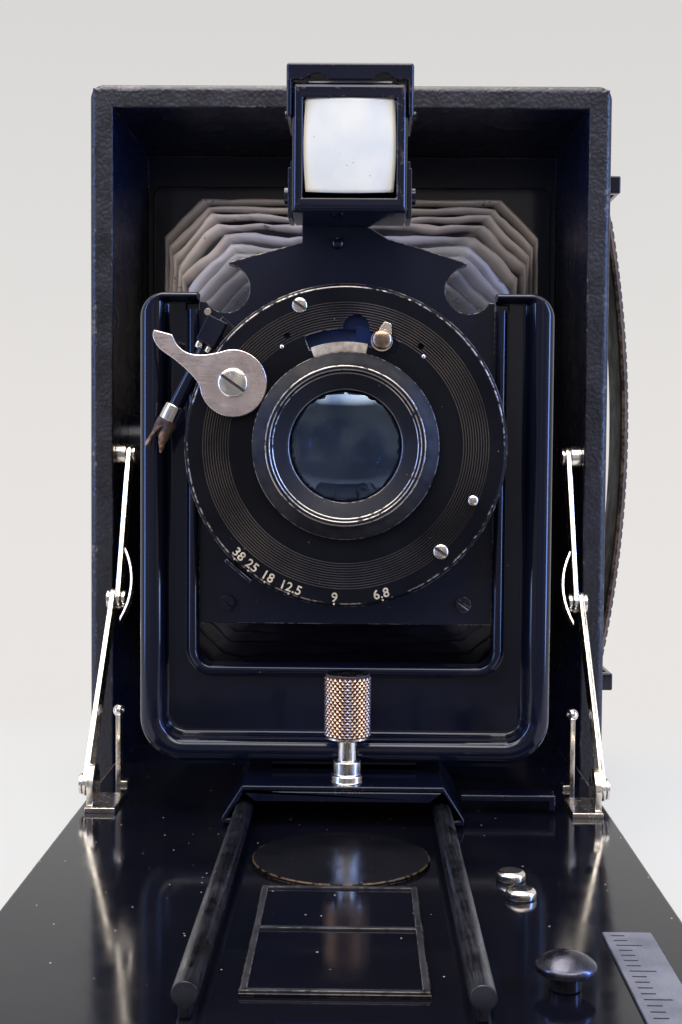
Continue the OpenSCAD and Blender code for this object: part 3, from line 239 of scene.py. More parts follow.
# The same japan inside the case, where no hand polishes it
dull_japan = surface("dull_black_japan", "#0d1120", "#101425", 18, (0.2, 0.34), grain=(6.0, 0.012),
                     worn=("#372f2a", 0.0, 0.5, 0.3), dust=("#5d5650", 5.0, 0.11), Specular_IOR_Level=0.4)
# Stove enamel on pressed steel: deepest gloss, the sheet shows in a few rubbed places
enamel = surface("stove_enamel", "#0a0e1c", "#0d111f", 20, (0.06, 0.13), grain=(7.0, 0.008),
                 worn=("#4a403b", 0.4, 0.4, 0.16), dust=("#9b8f84", 4.0, 0.1), Specular_IOR_Level=0.38)
# Matt optical lacquer on brass: even charcoal, brass-grey on the edges
lacquer = surface("optical_lacquer", "#0d0f19", "#12141f", 14, (0.4, 0.56), grain=(0.3, 0.004),
                  worn=("#7b766e", 0.7, 0.4, 0.36), dust=("#77716b", 3.2, 0.1), Specular_IOR_Level=0.2)
# The same lacquer on the turned face plate, with the fine rings cut bright
turned = surface("turned_face_lacquer", "#08090d", "#0f0f13", 12, (0.36, 0.52), grain=(0.3, 0.004),
                 worn=("#a59c92", 0.85, 0.3, 0.42), dust=("#9b9388", 2.0, 0.12),
                 rings=(21.4, 26.4, 0.46, "#827d77"), Specular_IOR_Level=0.1)
# Lacquered lens mount, rubbed through to bright metal on its rims
mount = surface("lens_mount_lacquer", "#0b0c12", "#121319", 8, (0.42, 0.55), grain=(0.3, 0.004),
                worn=("#b0a89c", 0.9, 0.28, 0.8), dust=("#8c857b", 1.6, 0.1), Specular_IOR_Level=0.24)
# The tapered flange of the mount, lacquer half gone to grey metal
rubbed_mount = surface("rubbed_mount_flange", "#0e0e11", "#232120", 3.2, (0.42, 0.58), 0.0,
                       grain=(0.3, 0.004), worn=("#aaa297", 0.9, 0.3, 0.5),
                       dust=("#9a9288", 2.0, 0.09), Specular_IOR_Level=0.18)
# Nickel plate on steel: bright, with grey-brown tarnish clouds and fine scratches
nickel = surface("nickel_plate", "#f2ebe0", "#d8cdbe", 6, (0.12, 0.26), 1.0, brushed=(0.9, 0.9, 2.4),
                 worn=("#9a7b5e", 1.0, 0.4, 0.12), dust=("#7a6d60", 3.4, 0.1))
# Knurled nickel, its high points thumbed to warm grey, with dirt and painted shade between them
knurled = surface("knurled_nickel", "#a58b76", "#8f7867", 1.4, (0.22, 0.36), 1.0, grain=(0.3, 0.01),
                  worn=("#d3c6b9", 1.0, 0.24, 0.7))
# Dark brown on the knob's core between the studs and on the floors of the screw slots: dirt and painted shade
# in these hollows
dirt_and_shade = surface("dirt_and_shade_between_studs", "#2b211b", "#44362c", 0.8, (0.6, 0.8), 0.2, grain=(0.2, 0.01))
# Nickel gone dull on the round knob of the bed
dull_nickel = surface("dull_nickel", "#4f4f5a", "#37363d", 3, (0.2, 0.34), 0.9, brushed=(0.9, 0.9, 2.4),
                      dust=("#5a5048", 2.0, 0.12))
# Satin nickel: brushed, warm pinkish grey
satin = surface("satin_nickel", "#f1e0d8", "#dccac3", 5, (0.24, 0.36), 1.0, brushed=(4.0, 1.0, 0.25),
                worn=("#e2d8d0", 1.0, 0.2, 0.7))
# Deep blue lacquer on the plate behind the window of the face plate
deep_blue = surface("deep_blue_lacquer", "#0a1b44", "#0d2250", 3, (0.3, 0.42), grain=(0.3, 0.006),
                    dust=("#8f8b86", 1.2, 0.08), Specular_IOR_Level=0.25)
# The same blue lacquer made brighter, painted light on the plate in the shaded recess behind the window of
# the face plate
blue_lit_in_recess = surface("blue_lacquer_lit_in_recess", "#1c4595", "#2553ab", 3, (0.3, 0.42), grain=(0.3, 0.006),
                     dust=("#a8a49e", 1.2, 0.08))
# Blued steel leaves inside the shutter
blued = surface("blued_steel", "#2b2d35", "#3a3c44", 5, (0.3, 0.42), 1.0, brushed=(2.0, 1.0, 0.3))
# Drawn steel rails, greyed and rubbed bright on the top
rail_steel = surface("drawn_steel", "#5c5c64", "#35353c", 8, (0.26, 0.42), 1.0, brushed=(0.3, 8.0, 0.3),
                     dust=("#5a5048", 2.5, 0.12))
# Cast brass bush, dull gold
brass = surface("turned_brass", "#b08d4c", "#8f7140", 6, (0.25, 0.42), 1.0, brushed=(1.0, 1.0, 0.2))
# Black lacquer cap over the bush, its rim rubbed to brass-brown
cap = surface("lacquered_cap", "#0c0c10", "#121114", 10, (0.14, 0.26), grain=(1.0, 0.004),
              worn=("#8a7355", 0.8, 0.35, 0.5), dust=("#93826c", 1.9, 0.11))
# Silvered zinc scale, dulled
zinc = surface("silvered_zinc", "#83858f", "#696a74", 7, (0.34, 0.5), 0.6, brushed=(0.3, 4.0, 1.0),
               dust=("#5c5650", 2.6, 0.12))
# Cream filler in the engraved figures
filler = surface("engraving_filler", "#cdbf9f", "#9b8c70", 1.2, (0.5, 0.7), grain=(0.2, 0.01))
# Worn index: silvered face, brown where thumbed
index = surface("silvered_index", "#cfcabb", "#8c7b62", 2.2, (0.4, 0.6), 0.3, grain=(0.3, 0.006))
# Perished rubber hose: brown outside, dark in the folds
rubber = surface("perished_rubber", "#241712", "#3f2b20", 1.6, (0.55, 0.8), grain=(0.4, 0.05),
                 worn=("#8a6b52", 0.0, 0.7, 0.6))
# Crown glass lens: clear with a faint blue cast and dust on it, its reflections tinted blue as painted
# reflection;
# its index stands for the several glasses behind one another, which reflect more than one
crown = surface("crown_glass", "#b9c6e6", "#aebbe0", 6, (0.0, 0.02), dust=("#a8a098", 1.9, 0.07),
                Transmission_Weight=1.0, IOR=1.85, Specular_Tint=ink("#c3dfff"))
# Plate glass, one face ground: white and hazy
ground = surface("ground_glass", "#d9dfdf", "#c8cfd0", 20, (0.5, 0.62), grain=(0.2, 0.004),
                 Transmission_Weight=0.45, IOR=1.5)
# Silvered mirror of the finder
mirror = surface("silvered_mirror", "#d5dade", "#b9bfc4", 5, (0.04, 0.1), 1.0)
# Milky finder lens: bright with a faint blue cast, grey specks and a soft dull rim
milky = surface("milky_finder_glass", "#dad9c8", "#cccfc4", 7, (0.12, 0.22), dust=("#5c626c", 1.1, 0.13),
                Coat_Weight=0.4)

# Finish of each solid that gets rounded edges, the width of the rounding, and its steps if not two
FINISH = {
    "case_shell": (dull_japan, 0.3), "case_leather": (covering, 0.32, 3),
    "bottom_leather": (covering, 0.25), "floor_rails": (enamel, 0.2),
    "bellows_frame": (enamel, 0.3), "back_frame": (enamel, 0.3),
    "strap_loops": (enamel, 0.42, 3), "side_tripod_bush": (brass, 0.25), "bed_board": (japan, 0.45, 3),
    "bed_rails": (rail_steel, 0.3), "tripod_bush": (brass, 0.25), "label_plate": (japan, 0.12),
    "distance_scale": (zinc, 0.12), "bed_stops": (nickel, 0.25, 3), "bed_catch": (enamel, 0.2),
    "hinge_leaves": (enamel, 0.1), "upper_braces": (nickel, 0.25), "lower_braces": (nickel, 0.25),
    "brace_fittings": (nickel, 0.12), "brace_springs": (nickel, 0.1), "screen_frame": (enamel, 0.35),
    "screen_hood": (covering, 0.3), "release_button": (nickel, 0.3, 3), "carriage": (enamel, 0.3, 4),
    "carriage_arm": (enamel, 0.3, 3), "lens_board": (lacquer, 0.18), "standard_screws": (nickel, 0.12),
    "shutter_case": (lacquer, 0.3), "face_plate": (turned, 0, 0), "speed_tab": (index, 0.08),
    "speed_selector": (nickel, 0.12), "aperture_ring": (lacquer, 0.1),
    "lens_barrel": (mount, 0.18, 3), "front_glass": (crown, 0.05, 1),
    "shutter_lever": (satin, 0.18, 3), "release_tube": (enamel, 0.15), "release_collar": (nickel, 0.3, 3),
    "finder_bracket": (enamel, 0.15), "finder_body": (enamel, 0.35, 3), "finder_hood": (enamel, 0.25, 3),
}
# Finish of the solids that stay as they are
BARE = {
    "hinge_pin": nickel, "ground_glass": ground, "shutter_plate": blue_lit_in_recess,
    **{"iris_blade_" + number: blued for number in "12345"}, "shutter_blade_a": blued,
    "shutter_blade_b": blued, "rear_cell": lacquer, "rear_glass": crown, "finder_mirror": mirror,
    "finder_top_lens": milky,
}


# Making pieces

def mesh_from(name, bm):
    mesh = bpy.data.meshes.new(name)
    bm.to_mesh(mesh)
    bm.free()
    return new_object(name, mesh)


def mesh_of(name, verts, faces, wear=None):
    """A mesh from points in millimetres and faces, which are turned to look outwards."""
    mesh = bpy.data.meshes.new(name)
    mesh.from_pydata([Vector(v) * MM for v in verts], [], faces)
    if wear is not None:
        mesh.attributes.new("Wear", "FLOAT", "POINT").data.foreach_set("value", wear)
    bm = bmesh.new()
    bm.from_mesh(mesh)
    bmesh.ops.recalc_face_normals(bm, faces=bm.faces)
    bm.to_mesh(mesh)
    bm.free()
    return mesh


def quads(rows, count, closed=True, first=0):
    """Faces between rows that have count points each, all round or open; first is the first point."""
    return [tuple(first + point for point in (i * count + j, i * count + (j + 1) % count,
                                              (i + 1) * count + (j + 1) % count, (i + 1) * count + j))
            for i in range(rows - 1) for j in range(count if closed else count - 1)]


def baked(made, name):
    """The object with its modifiers taken into a plain mesh."""
    bpy.context.view_layer.update()
    graph = bpy.context.evaluated_depsgraph_get()
    mesh = bpy.data.meshes.new_from_object(made.evaluated_get(graph), depsgraph=graph)
    mesh.name = name
    out = new_object(name, mesh)
    bpy.data.objects.remove(made)
    return out


def smoothed(made, angle=32):
    """Smooth shading that keeps flats flat and creases sharp."""
    name = made.name
    made.name = name + "_raw"
    made.data.shade_smooth()
    made.data.set_sharp_from_angle(angle=math.radians(angle))
    made.modifiers.new("even", "WEIGHTED_NORMAL").keep_sharp = True
    return baked(made, name)


def finished(made, finish, body, replaces=()):
    made.data.materials.clear()
    made.data.materials.append(finish)
    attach(made, body)
    if replaces:
        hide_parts(*replaces)
    return made


def piece(name, bm, finish, body, replaces=(), angle=32):
    """A finished piece from a bmesh, which is used up."""
    return finished(smoothed(mesh_from(name, bm), angle), finish, body, replaces)


def round_edges(bm, width, segments, pick=None):
    """Rounds the sharp edges that pick chooses, and marks the new faces as places that wear."""
    wear = bm.faces.layers.float.get("Wear") or bm.faces.layers.float.new("Wear")
    chosen = []
    for edge in bm.edges:
        if len(edge.link_faces) != 2 or edge.calc_face_angle(0) < SHARP:
            continue
        if pick is None or pick(edge, [v.co / MM for v in edge.verts]):
            chosen.append(edge)
    if not chosen:
        return
    result = bmesh.ops.bevel(bm, geom=chosen, offset=width * MM, offset_type="OFFSET", segments=segments,
                             profile=0.5, affect="EDGES", clamp_overlap=False)
    for face in result["faces"]:
        face[wear] = 1.0


def merged(node):
    bm = bmesh.new()
    bm.from_mesh(frame["nodes"][node].data)
    bmesh.ops.remove_doubles(bm, verts=bm.verts, dist=2e-6)
    bmesh.ops.dissolve_limit(bm, angle_limit=math.radians(0.5), verts=bm.verts, edges=bm.edges)
    return bm


def dressed(node, finish, width, segments=2, zones=()):
    """A copy of a solid with its edges rounded, in the solid's place."""
    bm = merged(node)
    for zone in zones:
        round_edges(bm, *zone)
    if width:
        round_edges(bm, width, segments)
    return piece(node + "_rounded", bm, finish, frame["nodes"][node]["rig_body"], [node])


def bar(bm, x0, y0, z0, x1, y1, z1):
    bmesh.ops.create_cube(bm, size=1, matrix=Matrix.Translation(Vector((x0 + x1, y0 + y1, z0 + z1)) * MM / 2)
                          @ Matrix.Diagonal((abs(x1 - x0) * MM, abs(y1 - y0) * MM, abs(z1 - z0) * MM, 1)))


def sheet_piece(name, verts, faces, finish, body, replaces=(), angle=32, wear=None, thick=0.0):
    """A piece from points in millimetres and faces."""
    made = new_object(name, mesh_of(name, verts, faces, wear))
    if thick:
        made.modifiers.new("thickness", "SOLIDIFY").thickness = thick * MM
    return finished(smoothed(made, angle), finish, body, replaces)


# Camera, stage and light

lens = bpy.data.cameras.new("view_lens")
lens.lens = 48.39
lens.sensor_width = 36
lens.clip_start = 0.01
eye = new_object("view_camera", lens)
eye.location = Vector((2.7, -229.28, 77.67)) * MM
eye.rotation_euler = Euler([math.radians(a) for a in (87.332, -0.429, 0.807)], "XYZ")
scene.camera = eye

# Round table top, in metres: its radius, how far its middle lies back, and where its rim starts to fade
TABLE_R, TABLE_Y, TABLE_FADE = 0.42, 0.06, (0.22, 0.41)
TABLE_END, BED_SHADE = (0.1, 0.17), (-0.06, -0.11)  # where it turns into wall, and dark in gloss
CORNERS = 72
spokes = [2 * math.pi * i / CORNERS for i in range(CORNERS)]
table_mesh = bpy.data.meshes.new("table_top")
rim = [(TABLE_R * math.cos(a), TABLE_Y + TABLE_R * math.sin(a), cad_box[0][2]) for a in spokes]
table_mesh.from_pydata(rim, [], [tuple(range(CORNERS))])
new_object("table_top", table_mesh)


def seen_by_eye(tree, through):
    """1 for camera rays, and for glossy and transmission rays as far as through says."""
    rays = add(tree, "ShaderNodeLightPath").node.outputs
    other = add(tree, MATH, [rays["Is Glossy Ray"], rays["Is Transmission Ray"]], **PLUS)
    part = add(tree, MATH, [other, through], **TIMES)
    return add(tree, MATH, [rays["Is Camera Ray"], part], **PLUS, use_clamp=True)


paper = bpy.data.materials.new("white_paper")
paper.use_nodes = True
tree = paper.node_tree
shader = tree.nodes["Principled BSDF"]
shader.inputs["Base Color"].default_value = ink("#c4c2c0")
shader.inputs["Roughness"].default_value = 0.9
place = add(tree, "ShaderNodeTexCoord", out="Object")
back = add(tree, "ShaderNodeSeparateXYZ", [place], "Y")
# The table ends in a soft line behind the object, and the pale wall begins
behind = add(tree, RANGE, [back, *TABLE_END])
pale = add(tree, MIX, {0: behind, 6: ink("#ececea"), 7: ink("#e9e6e4")}, **TINT)
keeps = add(tree, RANGE, [behind, 0.0, 1.0, 0.8, 1.0])
seen = add(tree, MATH, [seen_by_eye(tree, 0.5), keeps], **TIMES)
glow = add(tree, "ShaderNodeEmission", {"Color": pale, "Strength": 1.0})
lit = add(tree, "ShaderNodeMixShader", [seen, shader.outputs[0], glow])
# In front of the bed it shows dark in gloss, as the room there does
near_side = add(tree, RANGE, [back, *BED_SHADE, 0.0, 0.8])
mirrored_ray = add(tree, "ShaderNodeLightPath", out="Is Glossy Ray")
dim = add(tree, MATH, [near_side, mirrored_ray], **TIMES)
dusk = add(tree, "ShaderNodeEmission", {"Color": ink("#2c2a30"), "Strength": 1.0})
lit = add(tree, "ShaderNodeMixShader", [dim, lit, dusk])
# Its rim fades out, so that no edge of it shows in the glass
off = add(tree, VECTOR, [place, (0, TABLE_Y, 0)], **MINUS)
away = add(tree, VECTOR, [off], "Value", operation="LENGTH")
gone = add(tree, RANGE, [away, *TABLE_FADE])
clear = add(tree, "ShaderNodeBsdfTransparent")
faded = add(tree, "ShaderNodeMixShader", [gone, lit, clear])
tree.links.new(faded, tree.nodes["Material Output"].inputs["Surface"])
table_mesh.materials.append(paper)

# Parts of the room by the direction that a ray takes: y points back from the viewer, and z up
FRONT_TO_BACK, UNEVEN_ROOM = (-0.35, 0.45), (0.4, 0.6)
WALL_FOOT, WALL_MIDDLE, WALL_TOP = -0.15, 0.035, 0.3
BANK_FOOT, BANK_TOP, BANK_BACK, BANK_POWER = (0.6, 0.72), (0.82, 0.92), (-0.5, 0.0), 24.0
world = bpy.data.worlds.new("studio")
scene.world = world
world.use_nodes = True
tree = world.node_tree
around = add(tree, "ShaderNodeTexCoord", out="Generated")
way = add(tree, "ShaderNodeSeparateXYZ", [around]).node.outputs
# Bright wall behind the object, a dimmer and uneven room in front of it
depth = add(tree, RANGE, [way["Y"], *FRONT_TO_BACK])
uneven = add(tree, NOISE, {"Vector": around, "Scale": 1.7, "Detail": 2.0})
uneven = add(tree, RANGE, [uneven, *UNEVEN_ROOM])
front = add(tree, MIX, {0: uneven, 6: ink("#7f818c"), 7: ink("#bfb8b3")}, **TINT)
room = add(tree, MIX, {0: depth, 6: front, 7: ink("#d6d4d2")}, **TINT)
low = add(tree, RANGE, [way["Z"], WALL_FOOT, WALL_MIDDLE])
high = add(tree, RANGE, [way["Z"], WALL_MIDDLE, WALL_TOP])
wall = add(tree, MIX, {0: low, 6: ink("#e9e6e4"), 7: ink("#e5e2e0")}, **TINT)
wall = add(tree, MIX, {0: high, 6: wall, 7: ink("#d9d8d6")}, **TINT)
shown = add(tree, MIX, {0: seen_by_eye(tree, depth), 6: room, 7: wall}, **TINT)
tree.links.new(shown, tree.nodes["Background"].inputs["Color"])
# A soft bank of light above the viewer shows in gloss alone, along every rim that turns upward
rise = add(tree, RANGE, [way["Z"], *BANK_FOOT])
fall = add(tree, RANGE, [way["Z"], *BANK_TOP, 1.0, 0.0])
ahead = add(tree, RANGE, [way["Y"], *BANK_BACK, 1.0, 0.0])
rays = add(tree, "ShaderNodeLightPath").node.outputs
bank = add(tree, MATH, [rays["Is Glossy Ray"], rays["Is Transmission Ray"]], **MINUS, use_clamp=True)
for part in (rise, fall, ahead):
    bank = add(tree, MATH, [bank, part], **TIMES)
power = add(tree, RANGE, {0: bank, 3: 1.0, 4: BANK_POWER})
tree.links.new(power, tree.nodes["Background"].inputs["Strength"])

LAMPS = (  # name, place in mm, aim in mm, size in mm, power in watts, colour, shows in gloss
    ("top_softbox", (-60, 60, 620), (0, 40, 60), (520, 420), 4.6, "#fffaf4", True),
    ("front_softbox", (-260, -540, 380), (0, 40, 90), (460, 400), 3.2, "#fff2ea", False),
    ("left_window", (-420, -120, 170), (0, 30, 80), (90, 420), 1.6, "#7fa8ff", True),
    ("right_window", (420, -100, 170), (0, 30, 80), (90, 420), 2.8, "#7fa8ff", True),
)
for name, place, aim, size, power, colour, in_gloss in LAMPS:
    data = bpy.data.lights.new(name, "AREA")
    data.shape = "RECTANGLE"
    data.size, data.size_y = size[0] * MM, size[1] * MM
    data.energy = power
    data.color = ink(colour)[:3]
    lamp = new_object(name, data)
    lamp.visible_glossy = in_gloss
    lamp.visible_transmission = in_gloss
    lamp.location = Vector(place) * MM
    lamp.rotation_euler = (Vector(aim) - Vector(place)).to_track_quat("-Z", "Y").to_euler()


# Solids with rounded edges

CASE_FRONT, CASE_SIDE, CASE_ROOF = 71.5, 56, 155
RINGS_FROM, RINGS_TO = 21.2, 27  # the fine grooves lie between these radii
FINDER_X, FINDER_FRONT, FLUSH = 0.4, 14.8, 0.06
OPENING_HALF, OPENING_FOOT, OPENING_TOP = 10, 120, 141
HOOD_HALF, HOOD_SIDE, HOOD_FOOT = 10.4, 10.8, 145


def case_front(edge, ends):
    """The outer front edge of the covering, where it folds into the case."""
    return all(v.y < CASE_FRONT + 0.1 and (abs(v.x) > CASE_SIDE or v.z > CASE_ROOF) for v in ends)


def off_rings(edge, ends):
    """Edges of the face plate apart from the fine grooves."""
    return all(not RINGS_FROM < math.hypot(v.x, v.z - LENS_Z) < RINGS_TO for v in ends)


def finder_rim(edge, ends):
    """The front edge of the finder's body, apart from the opening for its lens."""
    beside = any(abs(v.x - FINDER_X) > OPENING_HALF or not OPENING_FOOT <= v.z <= OPENING_TOP for v in ends)
    return beside and all(abs(v.y - FINDER_FRONT) < FLUSH for v in ends)


def hood_rim(edge, ends):
    """The front edge of the hood, and the sides of its top."""
    on_front = all(abs(v.y - FINDER_FRONT) < FLUSH and (abs(v.x - FINDER_X) > HOOD_HALF or v.z > HOOD_FOOT)
                   for v in ends)
    return on_front or all(abs(v.x - FINDER_X) > HOOD_SIDE and v.z > HOOD_FOOT for v in ends)


ZONES = {
    "face_plate": [(0.16, 2, off_rings)],
    "case_leather": [(1.6, 5, case_front)],
    "finder_body": [(1.3, 5, finder_rim)],
    "finder_hood": [(0.6, 5, hood_rim)],
}
for node, row in FINISH.items():
    dressed(node, *row, zones=ZONES.get(node, ()))
for node, finish in BARE.items():
    frame["nodes"][node].data.materials.clear()
    frame["nodes"][node].data.materials.append(finish)

# Second finish of some pieces, on the faces that are chosen by their centres
SECOND_FINISH = {
    "tripod_bush": (cap, lambda c: c.z > BED_TOP + 0.02),  # its disc on the bed
    "side_tripod_bush": (dull_japan, lambda c: c.x > -55),  # its inner end
    "carriage": (nickel, lambda c: c.z > 15.62),  # collar of the clamp knob
    "lens_barrel": (rubbed_mount, lambda c: math.hypot(c.x, c.z - LENS_Z) > 14.4),  # tapered flange
    "speed_selector": (deep_blue, lambda c: c.y > 21.35),  # plate behind the face
    "aperture_ring": (deep_blue, lambda c: math.hypot(c.x, c.z - LENS_Z) < 25),  # behind the face
    "bed_stops": (dull_nickel, lambda c: c.y < -40),  # round knob
    "standard_screws": (lacquer, lambda c: c.z < 50),  # blacked screws of the lens board
}
for node, (finish, pick) in SECOND_FINISH.items():
    mesh = bpy.data.objects[node + "_rounded"].data
    mesh.materials.append(finish)
    for face in mesh.polygons:
        if pick(face.center / MM):
            face.material_index = len(mesh.materials) - 1


# Pressed standard

HALF_W, LOW, HIGH, BACK = 39.0, 17.7, 106.8, 35.5
WINDOW_X, LEDGE = 28.1, 36.2
ARC = 10


def arc(centre, radius, start, end):
    return [(centre[0] + radius * math.cos(a), centre[1] + radius * math.sin(a))
            for a in (math.radians(start + (end - start) * i / ARC) for i in range(ARC + 1))]


def mirrored(points):
    return points + [(-x, z) for x, z in reversed(points)]


def arm_end(m):
    """Height of the arm's end on a line drawn in by m: the end rolls over much faster than the sides."""
    return HIGH - 0.3 * m


def outer_line(m):
    """Outline of the standard drawn in by m, from the top of the left arm round to the right one."""
    top, low = max(4.6 - m, 0.3), 8.5 - m
    points = [(-WINDOW_X - 0.05, arm_end(m))] + arc((-HALF_W + m + top, arm_end(m) - top), top, 90, 180)
    return mirrored(points + arc((-HALF_W + m + low, LOW + m + low), low, 180, 270))


def window_line(m):
    """Edge of the opening drawn out by m."""
    r = 3 + m
    return mirrored([(-WINDOW_X - m, 103.6)] + arc((-WINDOW_X - m + r, LEDGE - m + r), r, 180, 270))


def quarter(m0, y0, m1, y1, bulge, steps=6):
    """Quarter turn of a section from one point to another, leaving along the depth or along the face."""
    out = []
    for i in range(steps + 1):
        a = math.pi / 2 * i / steps
        s, c = (1 - math.cos(a), math.sin(a)) if bulge == "depth" else (math.sin(a), 1 - math.cos(a))
        out.append((m0 + (m1 - m0) * s, y0 + (y1 - y0) * c))
    return out


OUTER_SECTION = ([(0.4, BACK), (0.0, BACK - 0.4)] + quarter(0, 31.7, 2.2, 29.5, "depth")
                 + quarter(2.5, 29.5, 4.6, 31.6, "face") + quarter(4.6, 33.0, 5.7, 34.1, "depth"))
INNER_SECTION = ([(0.3, BACK), (0.0, BACK - 0.3)] + quarter(0, 31.3, 0.8, 30.5, "depth", 4)
                 + quarter(1.0, 30.5, 1.8, 31.3, "face", 4) + quarter(1.8, 33.2, 2.7, 34.1, "depth", 4))
verts, faces = [], []


def lofted(line, section):
    """Walls between the lines of a section, with both ends closed."""
    first = len(verts)
    rows = [line(m) for m, y in section]
    for row, (m, y) in zip(rows, section):
        verts.extend((x, y, z) for x, z in row)
    n = len(rows[0])
    faces.extend(quads(len(rows), n, False, first))
    for j in (0, n - 1):
        faces.append(tuple(first + i * n + j for i in range(len(rows))))


lofted(outer_line, OUTER_SECTION)
lofted(window_line, INNER_SECTION)
# The floor of the channel and the back of the sheet, between the outer and the inner lines
for y, m_out, m_in, top in ((34.1, 5.7, 2.7, arm_end(5.7)), (BACK, 0.4, 0.3, arm_end(0.4))):
    loop = outer_line(m_out)[1:-1] + [(WINDOW_X + m_in, top)]
    loop += window_line(m_in)[-2:0:-1] + [(-WINDOW_X - m_in, top)]
    faces.append(tuple(range(len(verts), len(verts) + len(loop))))
    verts.extend((x, y, z) for x, z in loop)
mesh = bpy.data.meshes.new("pressed_standard")
mesh.from_pydata([Vector(v) * MM for v in verts], [], faces)
bm = bmesh.new()
bm.from_mesh(mesh)
bmesh.ops.triangulate(bm, faces=[f for f in bm.faces if len(f.verts) > 4])
bmesh.ops.remove_doubles(bm, verts=bm.verts, dist=1e-6)
bmesh.ops.recalc_face_normals(bm, faces=bm.faces)
# Two lugs behind the lens board, and the foot that lies on the carriage
LUGS_AND_FOOT = ((-29.1, 34.1, 44, -20.1, BACK, 48.6), (20.1, 34.1, 44, 29.1, BACK, 48.6),
                 (-14, 34.1, 15.6, 14, BACK, 18.7), (-14, 34.1, 15.6, 14, 46.1, 16.8))
plates = bmesh.new()
for corners in LUGS_AND_FOOT:
    bar(plates, *corners)
round_edges(plates, 0.2, 2)
plates.to_mesh(mesh)
plates.free()
bm.from_mesh(mesh)
piece("pressed_standard_shell", bm, enamel, "standard", ["standard_frame"], 40)


# Bellows

SIDE_STEPS, CORNER_STEPS = 24, 7
# Waves of the slack sides: share, and how fast each runs round the bellows and along it
WAVES = ((1.0, 0.11, 0.3), (0.5, 0.31, 0.2))


def bellows_ring(y, half_w, half_h, cut, slack):
    """One fold as points all round, its cut corners soft and its sides gone a little slack."""
    corners = []
    for sx, sz in ((1, 1), (-1, 1), (-1, -1), (1, -1)):
        first = (sx * half_w, sz * (half_h - cut))
        last = (sx * (half_w - cut), sz * half_h)
        corners += [last, first] if sx * sz < 0 else [first, last]
    points = []
    for i, (x0, z0) in enumerate(corners):
        x1, z1 = corners[(i + 1) % len(corners)]
        count = SIDE_STEPS if i % 2 else CORNER_STEPS
        for j in range(count):
            s = j / count
            points.append((x0 + (x1 - x0) * s, z0 + (z1 - z0) * s))
    out = []
    for x, z in points:
        lean = sum(share * noise.noise(Vector((around * x, along * y, around * z)))
                   for share, around, along in WAVES)
        k = 1 + slack * lean / math.hypot(x, z)
        out.append((x * k, y, LENS_Z + z * k))
    return out


FOLDS = 10
BELLOWS_Y = (36.1, 119.5)
BELLOWS_FRONT, BELLOWS_REAR = (25.0, 27.0), (47.0, 62.0)
SLACK, UNEVEN = 1.1, 0.35
CUT_CORNER, FOLD_DEPTH, VALLEY_ROUND, SKIN = 9.5, 4.6, 0.3, 0.6
# Distance in from the crest and how much it is rubbed and lit by painted highlight, by the share of a half
# fold away from it
CREST = {0: (0.0, 1.0), 0.1: (0.2, 0.95), 0.2: (0.65, 0.45), 0.34: (1.5, 0.0)}
CREST_STEPS, VALLEY_STEPS = (-0.34, -0.2, -0.1, 0, 0.1, 0.2, 0.34), (-0.14, 0, 0.14)
# Rubbing and painted highlight of the crests: how they grow towards the back, lean to the left, and set in
# above this height
RUB_AND_HIGHLIGHT_GROWS, RUB_AND_HIGHLIGHT_POWER, RUB_AND_HIGHLIGHT_OFF, RUB_AND_HIGHLIGHT_LEANS, RUB_AND_HIGHLIGHT_FROM, RUB_AND_HIGHLIGHT_OVER = 1.5, 2.1, 0.06, 0.006, 70, 30
verts, wear = [], []
steps = []
for fold in range(2 * FOLDS + 1):
    crest = fold % 2 == 0
    for shift in CREST_STEPS if crest else VALLEY_STEPS:
        t = (fold + shift) / (2 * FOLDS)
        if 0 <= t <= 1:
            low, crest_rub_and_highlight = CREST[abs(shift)] if crest else (FOLD_DEPTH - (VALLEY_ROUND if shift else 0), 0.0)
            steps.append((t, low, crest_rub_and_highlight, fold))
for t, inset, crest_rub_and_highlight, fold in sorted(steps):
    # No two folds stand out quite alike
    stray = UNEVEN * math.sin(2.4 * fold) * math.sin(math.pi * t)
    w, h = [a * (1 - t) + b * t + stray for a, b in zip(BELLOWS_FRONT, BELLOWS_REAR)]
    slack = SLACK * math.sin(math.pi * min(max(t, 0.02), 0.98)) ** 0.5
    y = BELLOWS_Y[0] * (1 - t) + BELLOWS_Y[1] * t
    ring = bellows_ring(y, w - inset, h - inset, CUT_CORNER + 0.5 * inset, slack)
    verts += ring
    # The top rubs on the roof of the case, and painted highlight lights the crests more towards the back, the
    # top and the left; the underside, in shade, gets hardly any
    rub_and_highlight = crest_rub_and_highlight * max(RUB_AND_HIGHLIGHT_GROWS * t ** RUB_AND_HIGHLIGHT_POWER - RUB_AND_HIGHLIGHT_OFF, 0)
    wear += [rub_and_highlight * (1 - RUB_AND_HIGHLIGHT_LEANS * x) * min(max((z - RUB_AND_HIGHLIGHT_FROM) / RUB_AND_HIGHLIGHT_OVER, 0), 1) for x, y, z in ring]
faces = quads(len(verts) // len(ring), len(ring))
folds = new_object("bellows_folds", mesh_of("bellows_folds", verts, faces, wear))
walls = folds.modifiers.new("thickness", "SOLIDIFY")
walls.thickness = SKIN * MM
walls.offset = -1
folds = smoothed(folds, 70)
folds.data.materials.clear()
folds.data.materials.append(skin)
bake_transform(folds)
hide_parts("bellows")


# Strap

